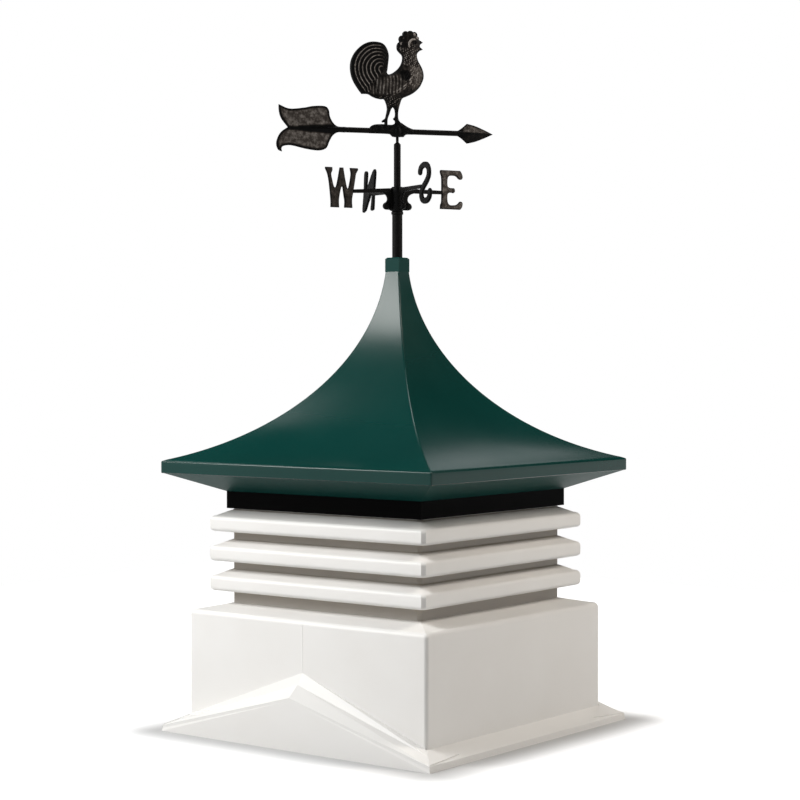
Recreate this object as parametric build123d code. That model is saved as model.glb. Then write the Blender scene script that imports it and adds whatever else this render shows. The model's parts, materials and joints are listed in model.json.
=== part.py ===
from build123d import *
import math
import os

# A barn cupola with a rooster weathervane. Millimetres, +Z up, origin on the ground under the middle.
# The gable faces look along Y and the eave faces along X.

# Base: two moulded halves that meet on the gable faces
WALL_SPAN = 610.0
WALL_THICKNESS = 5.0
WALL_CORNER_RADIUS = 8.0
LEDGE_EDGE_HEIGHT = 250.0
LEDGE_EDGE_RADIUS = 11.0
LEDGE_RISE = 11.0
RIDGE_FOOT_HEIGHT = 147.0
EAVE_FOOT_HEIGHT = 32.0
SEAM_FLANGE_DEPTH = 14.0
SEAM_FLANGE_THICKNESS = 4.0
SEAM_GROOVE = 1.2

# Skirt: a flashing strip that follows the roof's pitch, with a cut-out panel under each ridge
GABLE_REACH = 42.0
EAVE_REACH = 38.0
SKIRT_THICKNESS = 6.0
SKIRT_LEAN = 2.0
CREASE_SHARE = 0.34
RIDGE_CREASE_DROP = 22.0
RIDGE_RIM_DROP = 44.0
CORNER_CREASE_DROP = 7.5
CORNER_RIM_DROP = 20.0
PANEL_THICKNESS = 4.0

# Louvre section: a hollow neck with three rounded louvres, in two halves
NECK_SPAN = 486.0
LOUVRE_OVERHANG = 32.0
LOUVRE_WALL = 4.0
LOUVRE_COUNT = 3
LOUVRE_PITCH = 61.0
LOUVRE_FIRST_RISE = 23.0
LOUVRE_HEIGHT = 47.0
LOUVRE_UNDERSIDE_RISE = 3.0
LOUVRE_NOSE_HEIGHT = 32.0
LOUVRE_NOSE_RADIUS = 6.0
LOUVRE_CORNER_BEVEL = 6.0
NECK_TOP_MARGIN = 3.0
NECK_SEAT_WIDTH = 16.0

# Band and roof
BAND_OVERHANG = 7.5
BAND_HEIGHT = 35.0
BAND_WALL = 5.0
ROOF_SPAN = 692.0
SOFFIT_RISE = 38.0
FASCIA_HEIGHT = 25.5
ROOF_RISE = 389.5
ROOF_PEAK_SPAN = 36.0
ROOF_SWEEP_RADIUS = 448.0
ROOF_WALL = 4.0
COLLAR_HEIGHT = 30.0
COLLAR_BEVEL = 3.0

# Mast
MAST_RADIUS = 10.7
MAST_CLEARANCE = 0.2
MAST_REACH = 89.0
MAST_TAIL = 164.0
MAST_COLLAR_RIM = 1.8
MAST_COLLAR_THICKNESS = 7.0
MAST_COLLAR_BEVEL = 1.5
MAST_PLATE_THICKNESS = 6.0
MAST_NUT_RADIUS = 20.0
MAST_NUT_THICKNESS = 12.0
SPINDLE_RADIUS = 7.2
SPINDLE_REACH = 92.0
SPINDLE_BEVEL = 3.5
PIVOT_RADIUS = 3.0
PIVOT_CLEARANCE = 0.05
PIVOT_BARE_LENGTH = 12.0
PIVOT_DEPTH = 19.0
PIVOT_END_GAP = 0.3

# Compass arms and letters
COMPASS_TURN = 64.3
COMPASS_HUB_RADIUS = 12.0
COMPASS_HUB_HEAD = 2.5
ARM_RISE = 43.5
ARM_ROOT_DEPTH = 10.0
ARM_TIP_DEPTH = 7.0
ARM_THICKNESS = 6.0
ARM_SEAT = 14.0
SCROLL_REACH = 25.5
SCROLL_RISE = 10.5
SCROLL_WAIST = 3.0
SCROLL_TIP = 11.5
SCROLL_BALL_THICKNESS = 9.0
SCROLL_BALL_RADIUS = 7.5
EAST_REACH = 99.0
NORTH_REACH = 108.0
WEST_REACH = 91.0
SOUTH_REACH = 98.0
NORTH_TWIST = 3.2
NORTH_LIFT = 2.3
WEST_DROOP = 5.3
LETTER_HEIGHT = 82.0
LETTER_THICKNESS = 6.0
LETTER_RISE = 6.5
SOUTH_STROKE = 12.0

# Weathervane: the figure and arrow turn on the mast's pivot
VANE_TURN = 53.3
ARROW_RISE = 11.5
ARROW_RADIUS = 5.6
HUB_BOSS_RADIUS = 9.0
HUB_REAR = 60.0
HUB_FRONT = 34.0
HUB_GUSSET = 18.0
HUB_THICKNESS = 14.0
HEAD_ROOT = 131.0
HEAD_SHOULDER = 20.5
HEAD_LENGTH = 77.5
HEAD_HALF_HEIGHT = 20.5
HEAD_CHEEK_SHARE = 0.64
HEAD_SPINE_GAP = 6.0
HEAD_THICKNESS = 5.0
SPIKE_TIP_RADIUS = 1.5
TAIL_ROOT = 124.0
TAIL_LENGTH = 132.0
TAIL_SPIKE_LENGTH = 88.0
TAIL_THICKNESS = 5.0
FIGURE_HEIGHT = 210.0
BODY_THICKNESS = 24.0
BODY_STEP = 4.0
WING_RELIEF = 1.5
PLUME_THICKNESS = 7.0
PLUME_RELIEF = 1.2
PLUME_FEATHERS = 5
PLUME_SHRINK = 0.84
PLUME_ROOT = (-22.0, 45.0)
FIGURE_HEAD_THICKNESS = 14.0
FIGURE_HEAD_STEP = 2.5
LEG_THICKNESS = 9.0
LEG_STEP = 1.0

# Heights that follow, from the ground up
LEDGE_HEIGHT = LEDGE_EDGE_HEIGHT + LEDGE_RISE
LOUVRE_TOP_HEIGHT = LEDGE_HEIGHT + LOUVRE_FIRST_RISE + (LOUVRE_COUNT - 1) * LOUVRE_PITCH + LOUVRE_HEIGHT
NECK_TOP_HEIGHT = LOUVRE_TOP_HEIGHT + NECK_TOP_MARGIN
BAND_TOP_HEIGHT = NECK_TOP_HEIGHT + BAND_HEIGHT
FASCIA_FOOT_HEIGHT = BAND_TOP_HEIGHT + SOFFIT_RISE
FASCIA_TOP_HEIGHT = FASCIA_FOOT_HEIGHT + FASCIA_HEIGHT
ROOF_PEAK_HEIGHT = FASCIA_TOP_HEIGHT + ROOF_RISE
MAST_FOOT_HEIGHT = ROOF_PEAK_HEIGHT - MAST_TAIL
MAST_TOP_HEIGHT = ROOF_PEAK_HEIGHT + COLLAR_HEIGHT + MAST_REACH
COMPASS_FOOT_HEIGHT = MAST_TOP_HEIGHT + MAST_COLLAR_THICKNESS
ARM_HEIGHT = COMPASS_FOOT_HEIGHT + ARM_RISE
COMPASS_TOP_HEIGHT = ARM_HEIGHT + ARM_ROOT_DEPTH / 2 + COMPASS_HUB_HEAD
SHOULDER_HEIGHT = COMPASS_TOP_HEIGHT + SPINDLE_REACH
HUB_FOOT_HEIGHT = SHOULDER_HEIGHT + PIVOT_BARE_LENGTH
PIVOT_TOP_HEIGHT = HUB_FOOT_HEIGHT + PIVOT_DEPTH
ARROW_HEIGHT = HUB_FOOT_HEIGHT + ARROW_RISE

WALL_HALF = WALL_SPAN / 2
NECK_HALF = NECK_SPAN / 2
LOUVRE_HALF = NECK_HALF + LOUVRE_OVERHANG
BAND_HALF = NECK_HALF + BAND_OVERHANG
ROOF_HALF = ROOF_SPAN / 2
SHAFT_HALF = NECK_HALF - NECK_SEAT_WIDTH
BIG = 2000.0
ON_FOOT = (Align.CENTER, Align.CENTER, Align.MIN)


def block(half_x, half_y, low, high):
    """A box centred on the axis between two heights."""
    return Pos(0, 0, low) * Box(2 * half_x, 2 * half_y, high - low, align=ON_FOOT)


def flat_sided(first, second):
    """A solid between two polygons with as many corners, its sides in flat triangles."""
    faces = [Face(Wire.make_polygon(first)), Face(Wire.make_polygon(second))]
    for n in range(len(first)):
        m = (n + 1) % len(first)
        faces.append(Face(Wire.make_polygon([first[n], first[m], second[m]])))
        faces.append(Face(Wire.make_polygon([first[n], second[m], second[n]])))
    return Solid(Shell(faces)).clean()


def square(half, height):
    return [(-half, -half, height), (half, -half, height), (half, half, height), (-half, half, height)]


def frustum(low_half, low, high_half, high):
    """A square frustum between two heights."""
    return flat_sided(square(low_half, low), square(high_half, high))


def upright(radius, low, high):
    return Pos(0, 0, low) * Cylinder(radius, high - low, align=ON_FOOT)


def side_of(solid, side):
    """The half of a solid on one side of the seam."""
    return solid & (Pos(side * BIG / 2, 0, 0) * Box(BIG, BIG, 2 * BIG))


# Base


def base_shell():
    """Walls and sloping ledge of the base in one hollow shell, before it is parted at the seam."""
    rim_half = WALL_HALF - LEDGE_EDGE_RADIUS - 1
    outer = block(WALL_HALF, WALL_HALF, 0, LEDGE_EDGE_HEIGHT)
    outer = fillet(outer.edges().filter_by(Axis.Z), WALL_CORNER_RADIUS)
    outer = fillet(outer.edges().group_by(Axis.Z)[-1], LEDGE_EDGE_RADIUS)
    outer += frustum(rim_half, LEDGE_EDGE_HEIGHT - 0.1, NECK_HALF, LEDGE_HEIGHT)
    inner_half = WALL_HALF - WALL_THICKNESS
    inner_edge = LEDGE_EDGE_HEIGHT - 2 * WALL_THICKNESS
    cavity = block(inner_half, inner_half, -1, inner_edge)
    cavity += frustum(inner_half - WALL_THICKNESS, inner_edge - 0.1, NECK_HALF, LEDGE_HEIGHT - WALL_THICKNESS)
    flange = block(SEAM_FLANGE_THICKNESS, BIG / 4, 0, LEDGE_HEIGHT) & cavity
    flange -= block(BIG / 4, inner_half - SEAM_FLANGE_DEPTH, -1, BIG)
    shell = outer - cavity + flange
    shell -= block(SHAFT_HALF, SHAFT_HALF, 0, BIG)
    return shell - below_roofline() - seam_grooves(WALL_HALF)


def below_roofline():
    """What the skirt's pitch takes off the foot of the walls."""
    foot = EAVE_FOOT_HEIGHT - SKIRT_THICKNESS
    ridge = RIDGE_FOOT_HEIGHT - SKIRT_THICKNESS
    points = [(-WALL_HALF, -1), (-WALL_HALF, foot), (0, ridge), (WALL_HALF, foot), (WALL_HALF, -1)]
    return extrude(make_face(Plane.XZ * Polyline(*points, close=True)), BIG / 4, both=True)


def seam_grooves(half):
    """Two upright V grooves where the halves meet."""
    groove = Rot(0, 0, 45) * Box(SEAM_GROOVE, SEAM_GROOVE, BIG)
    return [Pos(0, side * half, 0) * groove for side in (-1, 1)]


# Skirt. A section runs outward from the wall: u is the share of the reach and z the height.


def strip_section(wall_height, crease_drop, rim_drop):
    rim = 1 - SKIRT_LEAN / GABLE_REACH
    top = [(0, wall_height), (CREASE_SHARE, wall_height - crease_drop), (rim, wall_height - rim_drop)]
    return top + [(u, z - SKIRT_THICKNESS) for u, z in reversed(top)]


def panel_section(rim_height):
    rim = 1 - SKIRT_LEAN / GABLE_REACH
    depth = PANEL_THICKNESS / GABLE_REACH
    top = rim_height - SKIRT_THICKNESS
    return [(rim, top), (1, 0), (1 - depth, 0), (rim - depth, top)]


RIDGE_STRIP = strip_section(RIDGE_FOOT_HEIGHT, RIDGE_CREASE_DROP, RIDGE_RIM_DROP)
CORNER_STRIP = strip_section(EAVE_FOOT_HEIGHT, CORNER_CREASE_DROP, CORNER_RIM_DROP)
RIDGE_PANEL = panel_section(RIDGE_FOOT_HEIGHT - RIDGE_RIM_DROP)
CORNER_PANEL = panel_section(EAVE_FOOT_HEIGHT - CORNER_RIM_DROP)


def gable_piece(ridge_section, corner_section, side, end):
    """A strip or panel from the ridge to the mitre plane of one corner."""
    ridge = [(0, end * (WALL_HALF + u * GABLE_REACH), z) for u, z in ridge_section]
    corner = []
    for u, z in corner_section:
        corner.append((side * (WALL_HALF + u * EAVE_REACH), end * (WALL_HALF + u * GABLE_REACH), z))
    return flat_sided(ridge, corner)


def eave_strip(side):
    """The eave section with its upright lip, drawn along the wall and mitred at both corners."""
    section = CORNER_STRIP[:3] + CORNER_PANEL[1:] + CORNER_STRIP[4:]
    points = [(side * (WALL_HALF + u * EAVE_REACH), z) for u, z in section]
    strip = extrude(make_face(Plane.XZ * Polyline(*points, close=True)), BIG / 4, both=True)
    wall = side * WALL_HALF
    rim = side * (WALL_HALF + EAVE_REACH)
    run = WALL_HALF + GABLE_REACH
    plan = Polyline((wall, -WALL_HALF), (rim, -run), (rim, run), (wall, WALL_HALF), close=True)
    return strip & extrude(make_face(plan), BIG / 4)


# Louvre section


def louvre(foot, inset):
    """One louvre as a closed tier: sloping top, rounded nose and short underside."""
    half = LOUVRE_HALF - inset
    neck = NECK_HALF - inset
    low = foot + LOUVRE_UNDERSIDE_RISE + inset
    high = foot + LOUVRE_UNDERSIDE_RISE + LOUVRE_NOSE_HEIGHT - inset
    nose = block(half, half, low, high)
    nose = chamfer(nose.edges().filter_by(Axis.Z), LOUVRE_CORNER_BEVEL)
    if inset == 0:
        nose = fillet(nose.edges().group_by(Axis.Z)[-1], LOUVRE_NOSE_RADIUS)
        nose = fillet(nose.edges().group_by(Axis.Z)[0], LOUVRE_NOSE_RADIUS)
    slope = frustum(half - LOUVRE_NOSE_RADIUS, high - 0.1, neck, foot + LOUVRE_HEIGHT - inset)
    underside = frustum(neck, foot + inset, half - LOUVRE_NOSE_RADIUS, low + 0.1)
    return nose + slope + underside


def louvre_shell():
    """The hollow louvre section in one shell, before it is parted at the seam."""
    feet = [LEDGE_HEIGHT + LOUVRE_FIRST_RISE + n * LOUVRE_PITCH for n in range(LOUVRE_COUNT)]
    outer = block(NECK_HALF, NECK_HALF, LEDGE_HEIGHT, NECK_TOP_HEIGHT)
    inner_half = NECK_HALF - LOUVRE_WALL
    cavity = block(inner_half, inner_half, LEDGE_HEIGHT - 1, NECK_TOP_HEIGHT - LOUVRE_WALL)
    for foot in feet:
        outer += louvre(foot, 0)
        cavity += louvre(foot, LOUVRE_WALL)
    shell = outer - cavity - block(SHAFT_HALF, SHAFT_HALF, 0, BIG)
    return shell - seam_grooves(LOUVRE_HALF)


# Band and roof


def vent_band():
    """A dark square band with a seat flange at its foot and head."""
    band = block(BAND_HALF, BAND_HALF, NECK_TOP_HEIGHT, BAND_TOP_HEIGHT)
    hollow = BAND_HALF - BAND_WALL
    band -= block(hollow, hollow, NECK_TOP_HEIGHT + BAND_WALL, BAND_TOP_HEIGHT - BAND_WALL)
    return band - block(SHAFT_HALF, SHAFT_HALF, 0, BIG)


def sweep_ends(wall):
    """Foot and peak of the roof's sweep, drawn inward by the wall thickness."""
    foot = (ROOF_HALF - wall, FASCIA_TOP_HEIGHT - wall)
    peak = (ROOF_PEAK_SPAN / 2 - wall, ROOF_PEAK_HEIGHT - wall)
    return foot, peak


def roof_profile(wall):
    """The roof's section, drawn inward by the wall thickness."""
    foot, peak = sweep_ends(wall)
    bottom = FASCIA_FOOT_HEIGHT - (1 if wall else 0)
    right = [
        Line((0, bottom), (foot[0], bottom)),
        Line((foot[0], bottom), foot),
        RadiusArc(foot, peak, ROOF_SWEEP_RADIUS),
        Line(peak, (0, peak[1])),
        Line((0, peak[1]), (0, bottom)),
    ]
    half = make_face(Curve() + right)
    return half + mirror(half, Plane.YZ)


def swept_pyramid(wall):
    """A concave pyramid: the section drawn through along both plan axes, and what they share."""
    section = roof_profile(wall)
    along_y = extrude(Plane.XZ * section, BIG / 4, both=True)
    along_x = extrude(Plane.YZ * section, BIG / 4, both=True)
    return along_y & along_x


def mast_bore():
    return upright(MAST_RADIUS + MAST_CLEARANCE, 0, BIG)


def roof_shell():
    return swept_pyramid(0) - swept_pyramid(ROOF_WALL) - mast_bore()


def roof_soffit():
    """The sloping underside between the band and the fascia."""
    rim = ROOF_HALF - ROOF_WALL
    outer = frustum(BAND_HALF, BAND_TOP_HEIGHT, rim, FASCIA_FOOT_HEIGHT)
    outer += block(rim, rim, FASCIA_FOOT_HEIGHT, FASCIA_FOOT_HEIGHT + ROOF_WALL)
    inner = frustum(BAND_HALF, BAND_TOP_HEIGHT + ROOF_WALL, rim, FASCIA_FOOT_HEIGHT + ROOF_WALL)
    return outer - inner - block(SHAFT_HALF, SHAFT_HALF, 0, BIG)


def roof_collar():
    half = ROOF_PEAK_SPAN / 2
    collar = block(half, half, ROOF_PEAK_HEIGHT, ROOF_PEAK_HEIGHT + COLLAR_HEIGHT)
    return chamfer(collar.edges().group_by(Axis.Z)[-1], COLLAR_BEVEL) - mast_bore()


# Mast


def inner_roof_half(height):
    """Half width inside the roof at one height, from its sweep."""
    foot, peak = sweep_ends(ROOF_WALL)
    chord = math.dist(foot, peak)
    rise = math.sqrt(ROOF_SWEEP_RADIUS**2 - (chord / 2) ** 2)
    middle = ((foot[0] + peak[0]) / 2, (foot[1] + peak[1]) / 2)
    normal = ((peak[1] - foot[1]) / chord, (foot[0] - peak[0]) / chord)
    centre = (middle[0] + rise * normal[0], middle[1] + rise * normal[1])
    return centre[0] - math.sqrt(ROOF_SWEEP_RADIUS**2 - (height - centre[1]) ** 2)


def mast_plate():
    """The square plate inside the peak that the mast is drawn up against."""
    top = MAST_FOOT_HEIGHT + MAST_NUT_THICKNESS + MAST_PLATE_THICKNESS
    half = inner_roof_half(top)
    return block(half, half, top - MAST_PLATE_THICKNESS, top) - upright(MAST_RADIUS, 0, BIG)


def mast_nut():
    outline = Plane.XY.offset(MAST_FOOT_HEIGHT) * RegularPolygon(MAST_NUT_RADIUS, 6)
    return extrude(outline, MAST_NUT_THICKNESS) - upright(MAST_RADIUS, 0, BIG)


def mast_collar():
    ring = upright(MAST_RADIUS + MAST_COLLAR_RIM, MAST_TOP_HEIGHT, COMPASS_FOOT_HEIGHT)
    return chamfer(ring.edges(), MAST_COLLAR_BEVEL) - upright(SPINDLE_RADIUS, 0, BIG)


def spindle():
    """The slim upper mast with its shoulder and pivot pin."""
    rod = upright(SPINDLE_RADIUS, MAST_TOP_HEIGHT, SHOULDER_HEIGHT)
    rod = chamfer(rod.edges().group_by(Axis.Z)[-1], SPINDLE_BEVEL)
    return rod + upright(PIVOT_RADIUS, SHOULDER_HEIGHT - 1, PIVOT_TOP_HEIGHT)


# Compass


def radial_plane(turn, height=0.0):
    """The upright plane through the axis whose x runs out along one direction."""
    run = Vector(1, 0, 0).rotate(Axis.Z, turn)
    return Plane(origin=(0, 0, height), x_dir=run, z_dir=run.rotate(Axis.Z, -90))


def scroll(turn):
    """The concave bracket and ball under one arm, drawn from the arm's height."""
    root = COMPASS_HUB_RADIUS - 2
    ball = SCROLL_RISE - ARM_RISE
    foot = ball - SCROLL_BALL_RADIUS
    arm_foot = -ARM_ROOT_DEPTH / 2
    tip = SCROLL_REACH + SCROLL_TIP
    waist = (SCROLL_REACH - SCROLL_WAIST, (foot + arm_foot) / 2 + SCROLL_BALL_RADIUS / 2)
    outline = Curve() + [
        Line((root, foot), (SCROLL_REACH, foot)),
        ThreePointArc((SCROLL_REACH, foot), waist, (tip, arm_foot)),
        Line((tip, arm_foot), (root, arm_foot)),
        Line((root, arm_foot), (root, foot)),
    ]
    plane = radial_plane(turn, ARM_HEIGHT)
    web = extrude(plane * make_face(outline), ARM_THICKNESS / 2, both=True)
    disc = plane * (Pos(SCROLL_REACH, ball) * Circle(SCROLL_BALL_RADIUS))
    return web + extrude(disc, SCROLL_BALL_THICKNESS / 2, both=True)


def compass_hub():
    hub = upright(COMPASS_HUB_RADIUS, COMPASS_FOOT_HEIGHT, COMPASS_TOP_HEIGHT)
    hub -= upright(SPINDLE_RADIUS, 0, BIG)
    for quarter in range(4):
        hub += scroll(COMPASS_TURN + 90 * quarter)
    return hub


def compass_arm(turn, reach, lift, hub, letter):
    """A tapered bar from the hub to the nearest stroke of its letter, its tip lifted or drooping."""
    half_root = ARM_ROOT_DEPTH / 2
    half_tip = ARM_TIP_DEPTH / 2
    root = COMPASS_HUB_RADIUS / 2
    tip = reach + ARM_SEAT
    points = [(root, -half_root), (tip, lift - half_tip), (tip, lift + half_tip), (root, half_root)]
    outline = make_face(radial_plane(turn, ARM_HEIGHT) * Polyline(*points, close=True))
    bar = extrude(outline, ARM_THICKNESS / 2, both=True)
    bar -= upright(COMPASS_HUB_RADIUS, 0, BIG)
    return (bar - hub - letter).solids().sort_by_distance((0, 0, ARM_HEIGHT))[0]


# Letters are drawn in hundredths of their height, with the foot at y = 0. So is the south stroke.


def polygon(*points):
    return make_face(Polyline(*points, close=True))


def letter_north():
    near = polygon((0, 0), (14, 0), (13, 50), (14, 100), (0, 100), (1, 50))
    far = Pos(49, 0) * near
    return near + far + polygon((48, 0), (62, 0), (15, 100), (1, 100))


def letter_east():
    """A stem with two hooked arms and a short pointed middle one."""
    foot = [(2, 0), (60, 0), (66, 9), (66.5, 18), (59.5, 21), (49, 13), (32, 11), (26, 16), (22.5, 28)]
    middle = [(22.5, 40), (29, 43), (37, 44.5), (44, 48), (43, 53), (37, 54), (30, 55), (22.5, 60)]
    head = [(22.5, 78), (30, 86), (45, 86), (51, 83), (59, 78), (66.5, 80), (66.5, 88), (60, 100), (4, 100)]
    back = [(1.7, 96), (3.5, 85), (6, 74), (6, 22), (2.3, 9)]
    return polygon(*foot, *middle, *head, *back)


def letter_south():
    """One ribbon: a tall upper bowl, a low lower one and two free ends."""
    spine = [
        Line((57, 75), (57, 79)),
        ThreePointArc((57, 79), (34, 93), (11, 75)),
        ThreePointArc((11, 75), (16, 61), (31, 47)),
        ThreePointArc((31, 47), (47, 34), (51, 19)),
        ThreePointArc((51, 19), (30, 4), (6, 21)),
        Line((6, 21), (6, 31)),
    ]
    return trace(Curve() + spine, SOUTH_STROKE)


def letter_west():
    """Flared heads, a flat middle peak and two flat feet."""
    left_foot = [(16.5, 0), (39, 0), (39, 18), (41.6, 36), (44.5, 52)]
    right_foot = [(50, 52), (52.6, 31), (54.7, 19), (54, 0), (75.5, 0), (75, 22), (78.2, 37.5)]
    right_head = [(80, 50), (83.7, 70.7), (86, 86), (91, 97), (91, 100), (69, 100), (71.5, 86), (70, 70)]
    peak = [(66.5, 49), (60.5, 49), (57.4, 64), (53.3, 84), (51.5, 100), (41, 100), (40, 94), (36, 71)]
    left_head = [(33, 56), (27.5, 51), (23, 55.5), (20.3, 68), (17.4, 83), (20.5, 92), (20.5, 100)]
    back = [(2, 100), (1.7, 97), (7, 84.7), (9.4, 77), (12.7, 55), (15.4, 30), (16.7, 18)]
    return polygon(*left_foot, *right_foot, *right_head, *peak, *left_head, *back)


# Name, quarter from east, reach to the letter's near edge, lift and twist of the arm's tip, and drawing
LETTERS = [
    ("east", 0, EAST_REACH, 0.0, 0.0, letter_east),
    ("north", 1, NORTH_REACH, NORTH_LIFT, NORTH_TWIST, letter_north),
    ("west", 2, WEST_REACH, -WEST_DROOP, 0.0, letter_west),
    ("south", 3, SOUTH_REACH, 0.0, 0.0, letter_south),
]


def compass_letter(quarter, reach, lift, twist, draw):
    """One letter on the end of its arm. The west and south ones read inward, as on real vanes."""
    face = scale(draw(), by=LETTER_HEIGHT / 100)
    foot = LETTER_RISE - LETTER_HEIGHT / 2
    inward = quarter > 1
    start = -reach - face.bounding_box().max.X if inward else reach
    turn = COMPASS_TURN + 90 * quarter + (180 if inward else 0)
    placed = Plane.XZ * (Pos(start, foot) * face)
    letter = Rot(twist, 0, 0) * extrude(placed, LETTER_THICKNESS / 2, both=True)
    return Pos(0, 0, ARM_HEIGHT + lift) * Rot(0, 0, turn) * letter


# Weathervane. Outlines are drawn from the arrow's axis, with x to the arrow's tip.


def casting(outline, thickness, step=0.0):
    """A flat casting in the vane's plane, its two faces set back by one step all round."""
    plane = radial_plane(VANE_TURN, ARROW_HEIGHT)
    plate = extrude(plane * outline, thickness / 2 - step, both=True)
    if step:
        plate += extrude(plane * offset(outline, -step), thickness / 2, both=True)
    return plate


def rod(start, end, start_radius, end_radius):
    """A round bar along the arrow's axis, tapered where its two radii differ."""
    lie = Location(radial_plane(VANE_TURN, ARROW_HEIGHT)) * Pos(start, 0, 0) * Rot(0, 90, 0)
    if start_radius == end_radius:
        return lie * Cylinder(start_radius, end - start, align=ON_FOOT)
    return lie * Cone(start_radius, end_radius, end - start, align=ON_FOOT)


def scaled(size, *points):
    """Points given in hundredths of a size."""
    return [(x * size / 100, y * size / 100) for x, y in points]


def arcs(*points):
    """Arcs end to end, each through three of the points."""
    return [ThreePointArc(*points[n : n + 3]) for n in range(0, len(points) - 2, 2)]


def vane_hub():
    """The mound under the figure's feet, with the boss and blind bore that turn on the pivot."""
    low = -ARROW_RADIUS
    high = ARROW_RADIUS
    foot = -ARROW_RISE
    boss = HUB_BOSS_RADIUS + 1
    front = scaled(FIGURE_HEIGHT, (8.6, 5.6), (3.6, 8.8), (-1.5, 8.8), (-4, 6.6), (-14.8, 6.6), (-24, 5.6))
    outline = Curve() + [
        Polyline((-HUB_REAR, high), (-HUB_REAR, low), (-HUB_GUSSET, low), (-boss, foot), (boss, foot)),
        Polyline((boss, foot), (HUB_GUSSET, low), (HUB_FRONT, low), (HUB_FRONT, high)),
        ThreePointArc((HUB_FRONT, high), front[0], front[1]),
        Polyline(*front[1:5]),
        ThreePointArc(front[4], front[5], (-HUB_REAR, high)),
    ]
    hub = casting(make_face(outline), HUB_THICKNESS)
    hub += upright(HUB_BOSS_RADIUS, HUB_FOOT_HEIGHT, ARROW_HEIGHT + high)
    bore_top = PIVOT_TOP_HEIGHT + PIVOT_END_GAP
    return hub - upright(PIVOT_RADIUS + PIVOT_CLEARANCE, HUB_FOOT_HEIGHT - 1, bore_top)


def arrow_head():
    """A leaf-shaped plate on a tapered spine."""
    widest = HEAD_ROOT + HEAD_SHOULDER
    tip = HEAD_ROOT + HEAD_LENGTH
    neck = ARROW_RADIUS
    half = HEAD_HALF_HEIGHT
    middle = (widest + tip) / 2
    cheek = half * HEAD_CHEEK_SHARE
    outline = Curve() + [
        Line((HEAD_ROOT, -neck), (widest, -half)),
        ThreePointArc((widest, -half), (middle, -cheek), (tip, 0)),
        ThreePointArc((tip, 0), (middle, cheek), (widest, half)),
        Polyline((widest, half), (HEAD_ROOT, neck), (HEAD_ROOT, -neck)),
    ]
    spine = rod(HEAD_ROOT, tip - HEAD_SPINE_GAP, ARROW_RADIUS, SPIKE_TIP_RADIUS)
    return casting(make_face(outline), HEAD_THICKNESS) + spine


def arrow_tail():
    """The notched, hooked tail plate on a tapered spine."""
    shoulder = [(-2, 4.2), (-9.5, 9.5), (-15.2, 19.3), (-17, 30), (-25, 36)]
    top = [(-42, 35), (-58, 32), (-80, 30), (-97, 36)]
    notch = [(-94.3, 16.3), (-82.6, 1.1), (-97.7, -14), (-100.4, -27.7)]
    hook = [(-97, -35.2), (-91.7, -36.7), (-92.4, -32.2), (-90.2, -28.8)]
    bottom = [(-82, -26.9), (-73, -27.6), (-53, -31.8), (-33.3, -33.7)]
    root = [(-20.8, -29.5), (-16, -18.6), (-10.5, -9.5), (-2, -4.2)]
    edge = scaled(TAIL_LENGTH, *shoulder, *top, *notch, *hook, *bottom, *root)
    plate = Pos(-TAIL_ROOT, 0) * make_face(Curve() + [*arcs(*edge), Line(edge[-1], edge[0])])
    spine = rod(-TAIL_ROOT - TAIL_SPIKE_LENGTH, -TAIL_ROOT, SPIKE_TIP_RADIUS, ARROW_RADIUS)
    return casting(plate, TAIL_THICKNESS) + spine


# Figure. Its points are in hundredths of its height above the arrow.


def body_outline():
    breast = [(20.8, 71), (24, 66.3), (27, 58), (25.8, 49.5), (19, 40.4), (9.4, 34.8), (-3, 32.3)]
    rump = [(-17, 31.8), (-29, 36.1), (-31, 44), (-25, 52)]
    back = [(-16, 55), (-7.8, 56.2), (0.4, 61.6), (5.2, 71)]
    edge = scaled(FIGURE_HEIGHT, *breast, *rump, *back)
    return make_face(Curve() + [*arcs(*edge), Line(edge[-1], edge[0])])


def wing_outline():
    """The folded wing that stands a little proud of each flank."""
    edge = [(8, 57), (14, 50), (10, 42.5), (-2, 37), (-16, 36), (-26, 38), (-25, 46), (-10, 52.5), (8, 57)]
    return make_face(Curve() + arcs(*scaled(FIGURE_HEIGHT, *edge)))


def plume_outline(share):
    """The plume's edge, drawn in towards its root by one share."""
    sweep = [(-36.6, 35.8), (-44.6, 46.8), (-48.3, 60), (-46.3, 71.4), (-39, 81.4), (-32.3, 86), (-23.4, 87.8)]
    fall = [(-13.8, 85.4), (-9, 75.7), (-9.8, 66), (-11.3, 56.6)]
    centre_x, centre_y = PLUME_ROOT
    points = []
    for x, y in sweep + fall + [(-28, 37)]:
        points.append((centre_x + share * (x - centre_x), centre_y + share * (y - centre_y)))
    edge = scaled(FIGURE_HEIGHT, *points)
    return make_face(Curve() + [*arcs(*edge[:-1]), Polyline(edge[-2], edge[-1], edge[0])])


def plume():
    """Nested feathers, each smaller one standing proud of the one outside it."""
    feathers = []
    for n in range(PLUME_FEATHERS):
        outline = plume_outline(PLUME_SHRINK**n)
        feathers.append(casting(outline, PLUME_THICKNESS + 2 * n * PLUME_RELIEF))
    return feathers[0] + feathers[1:]


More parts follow.
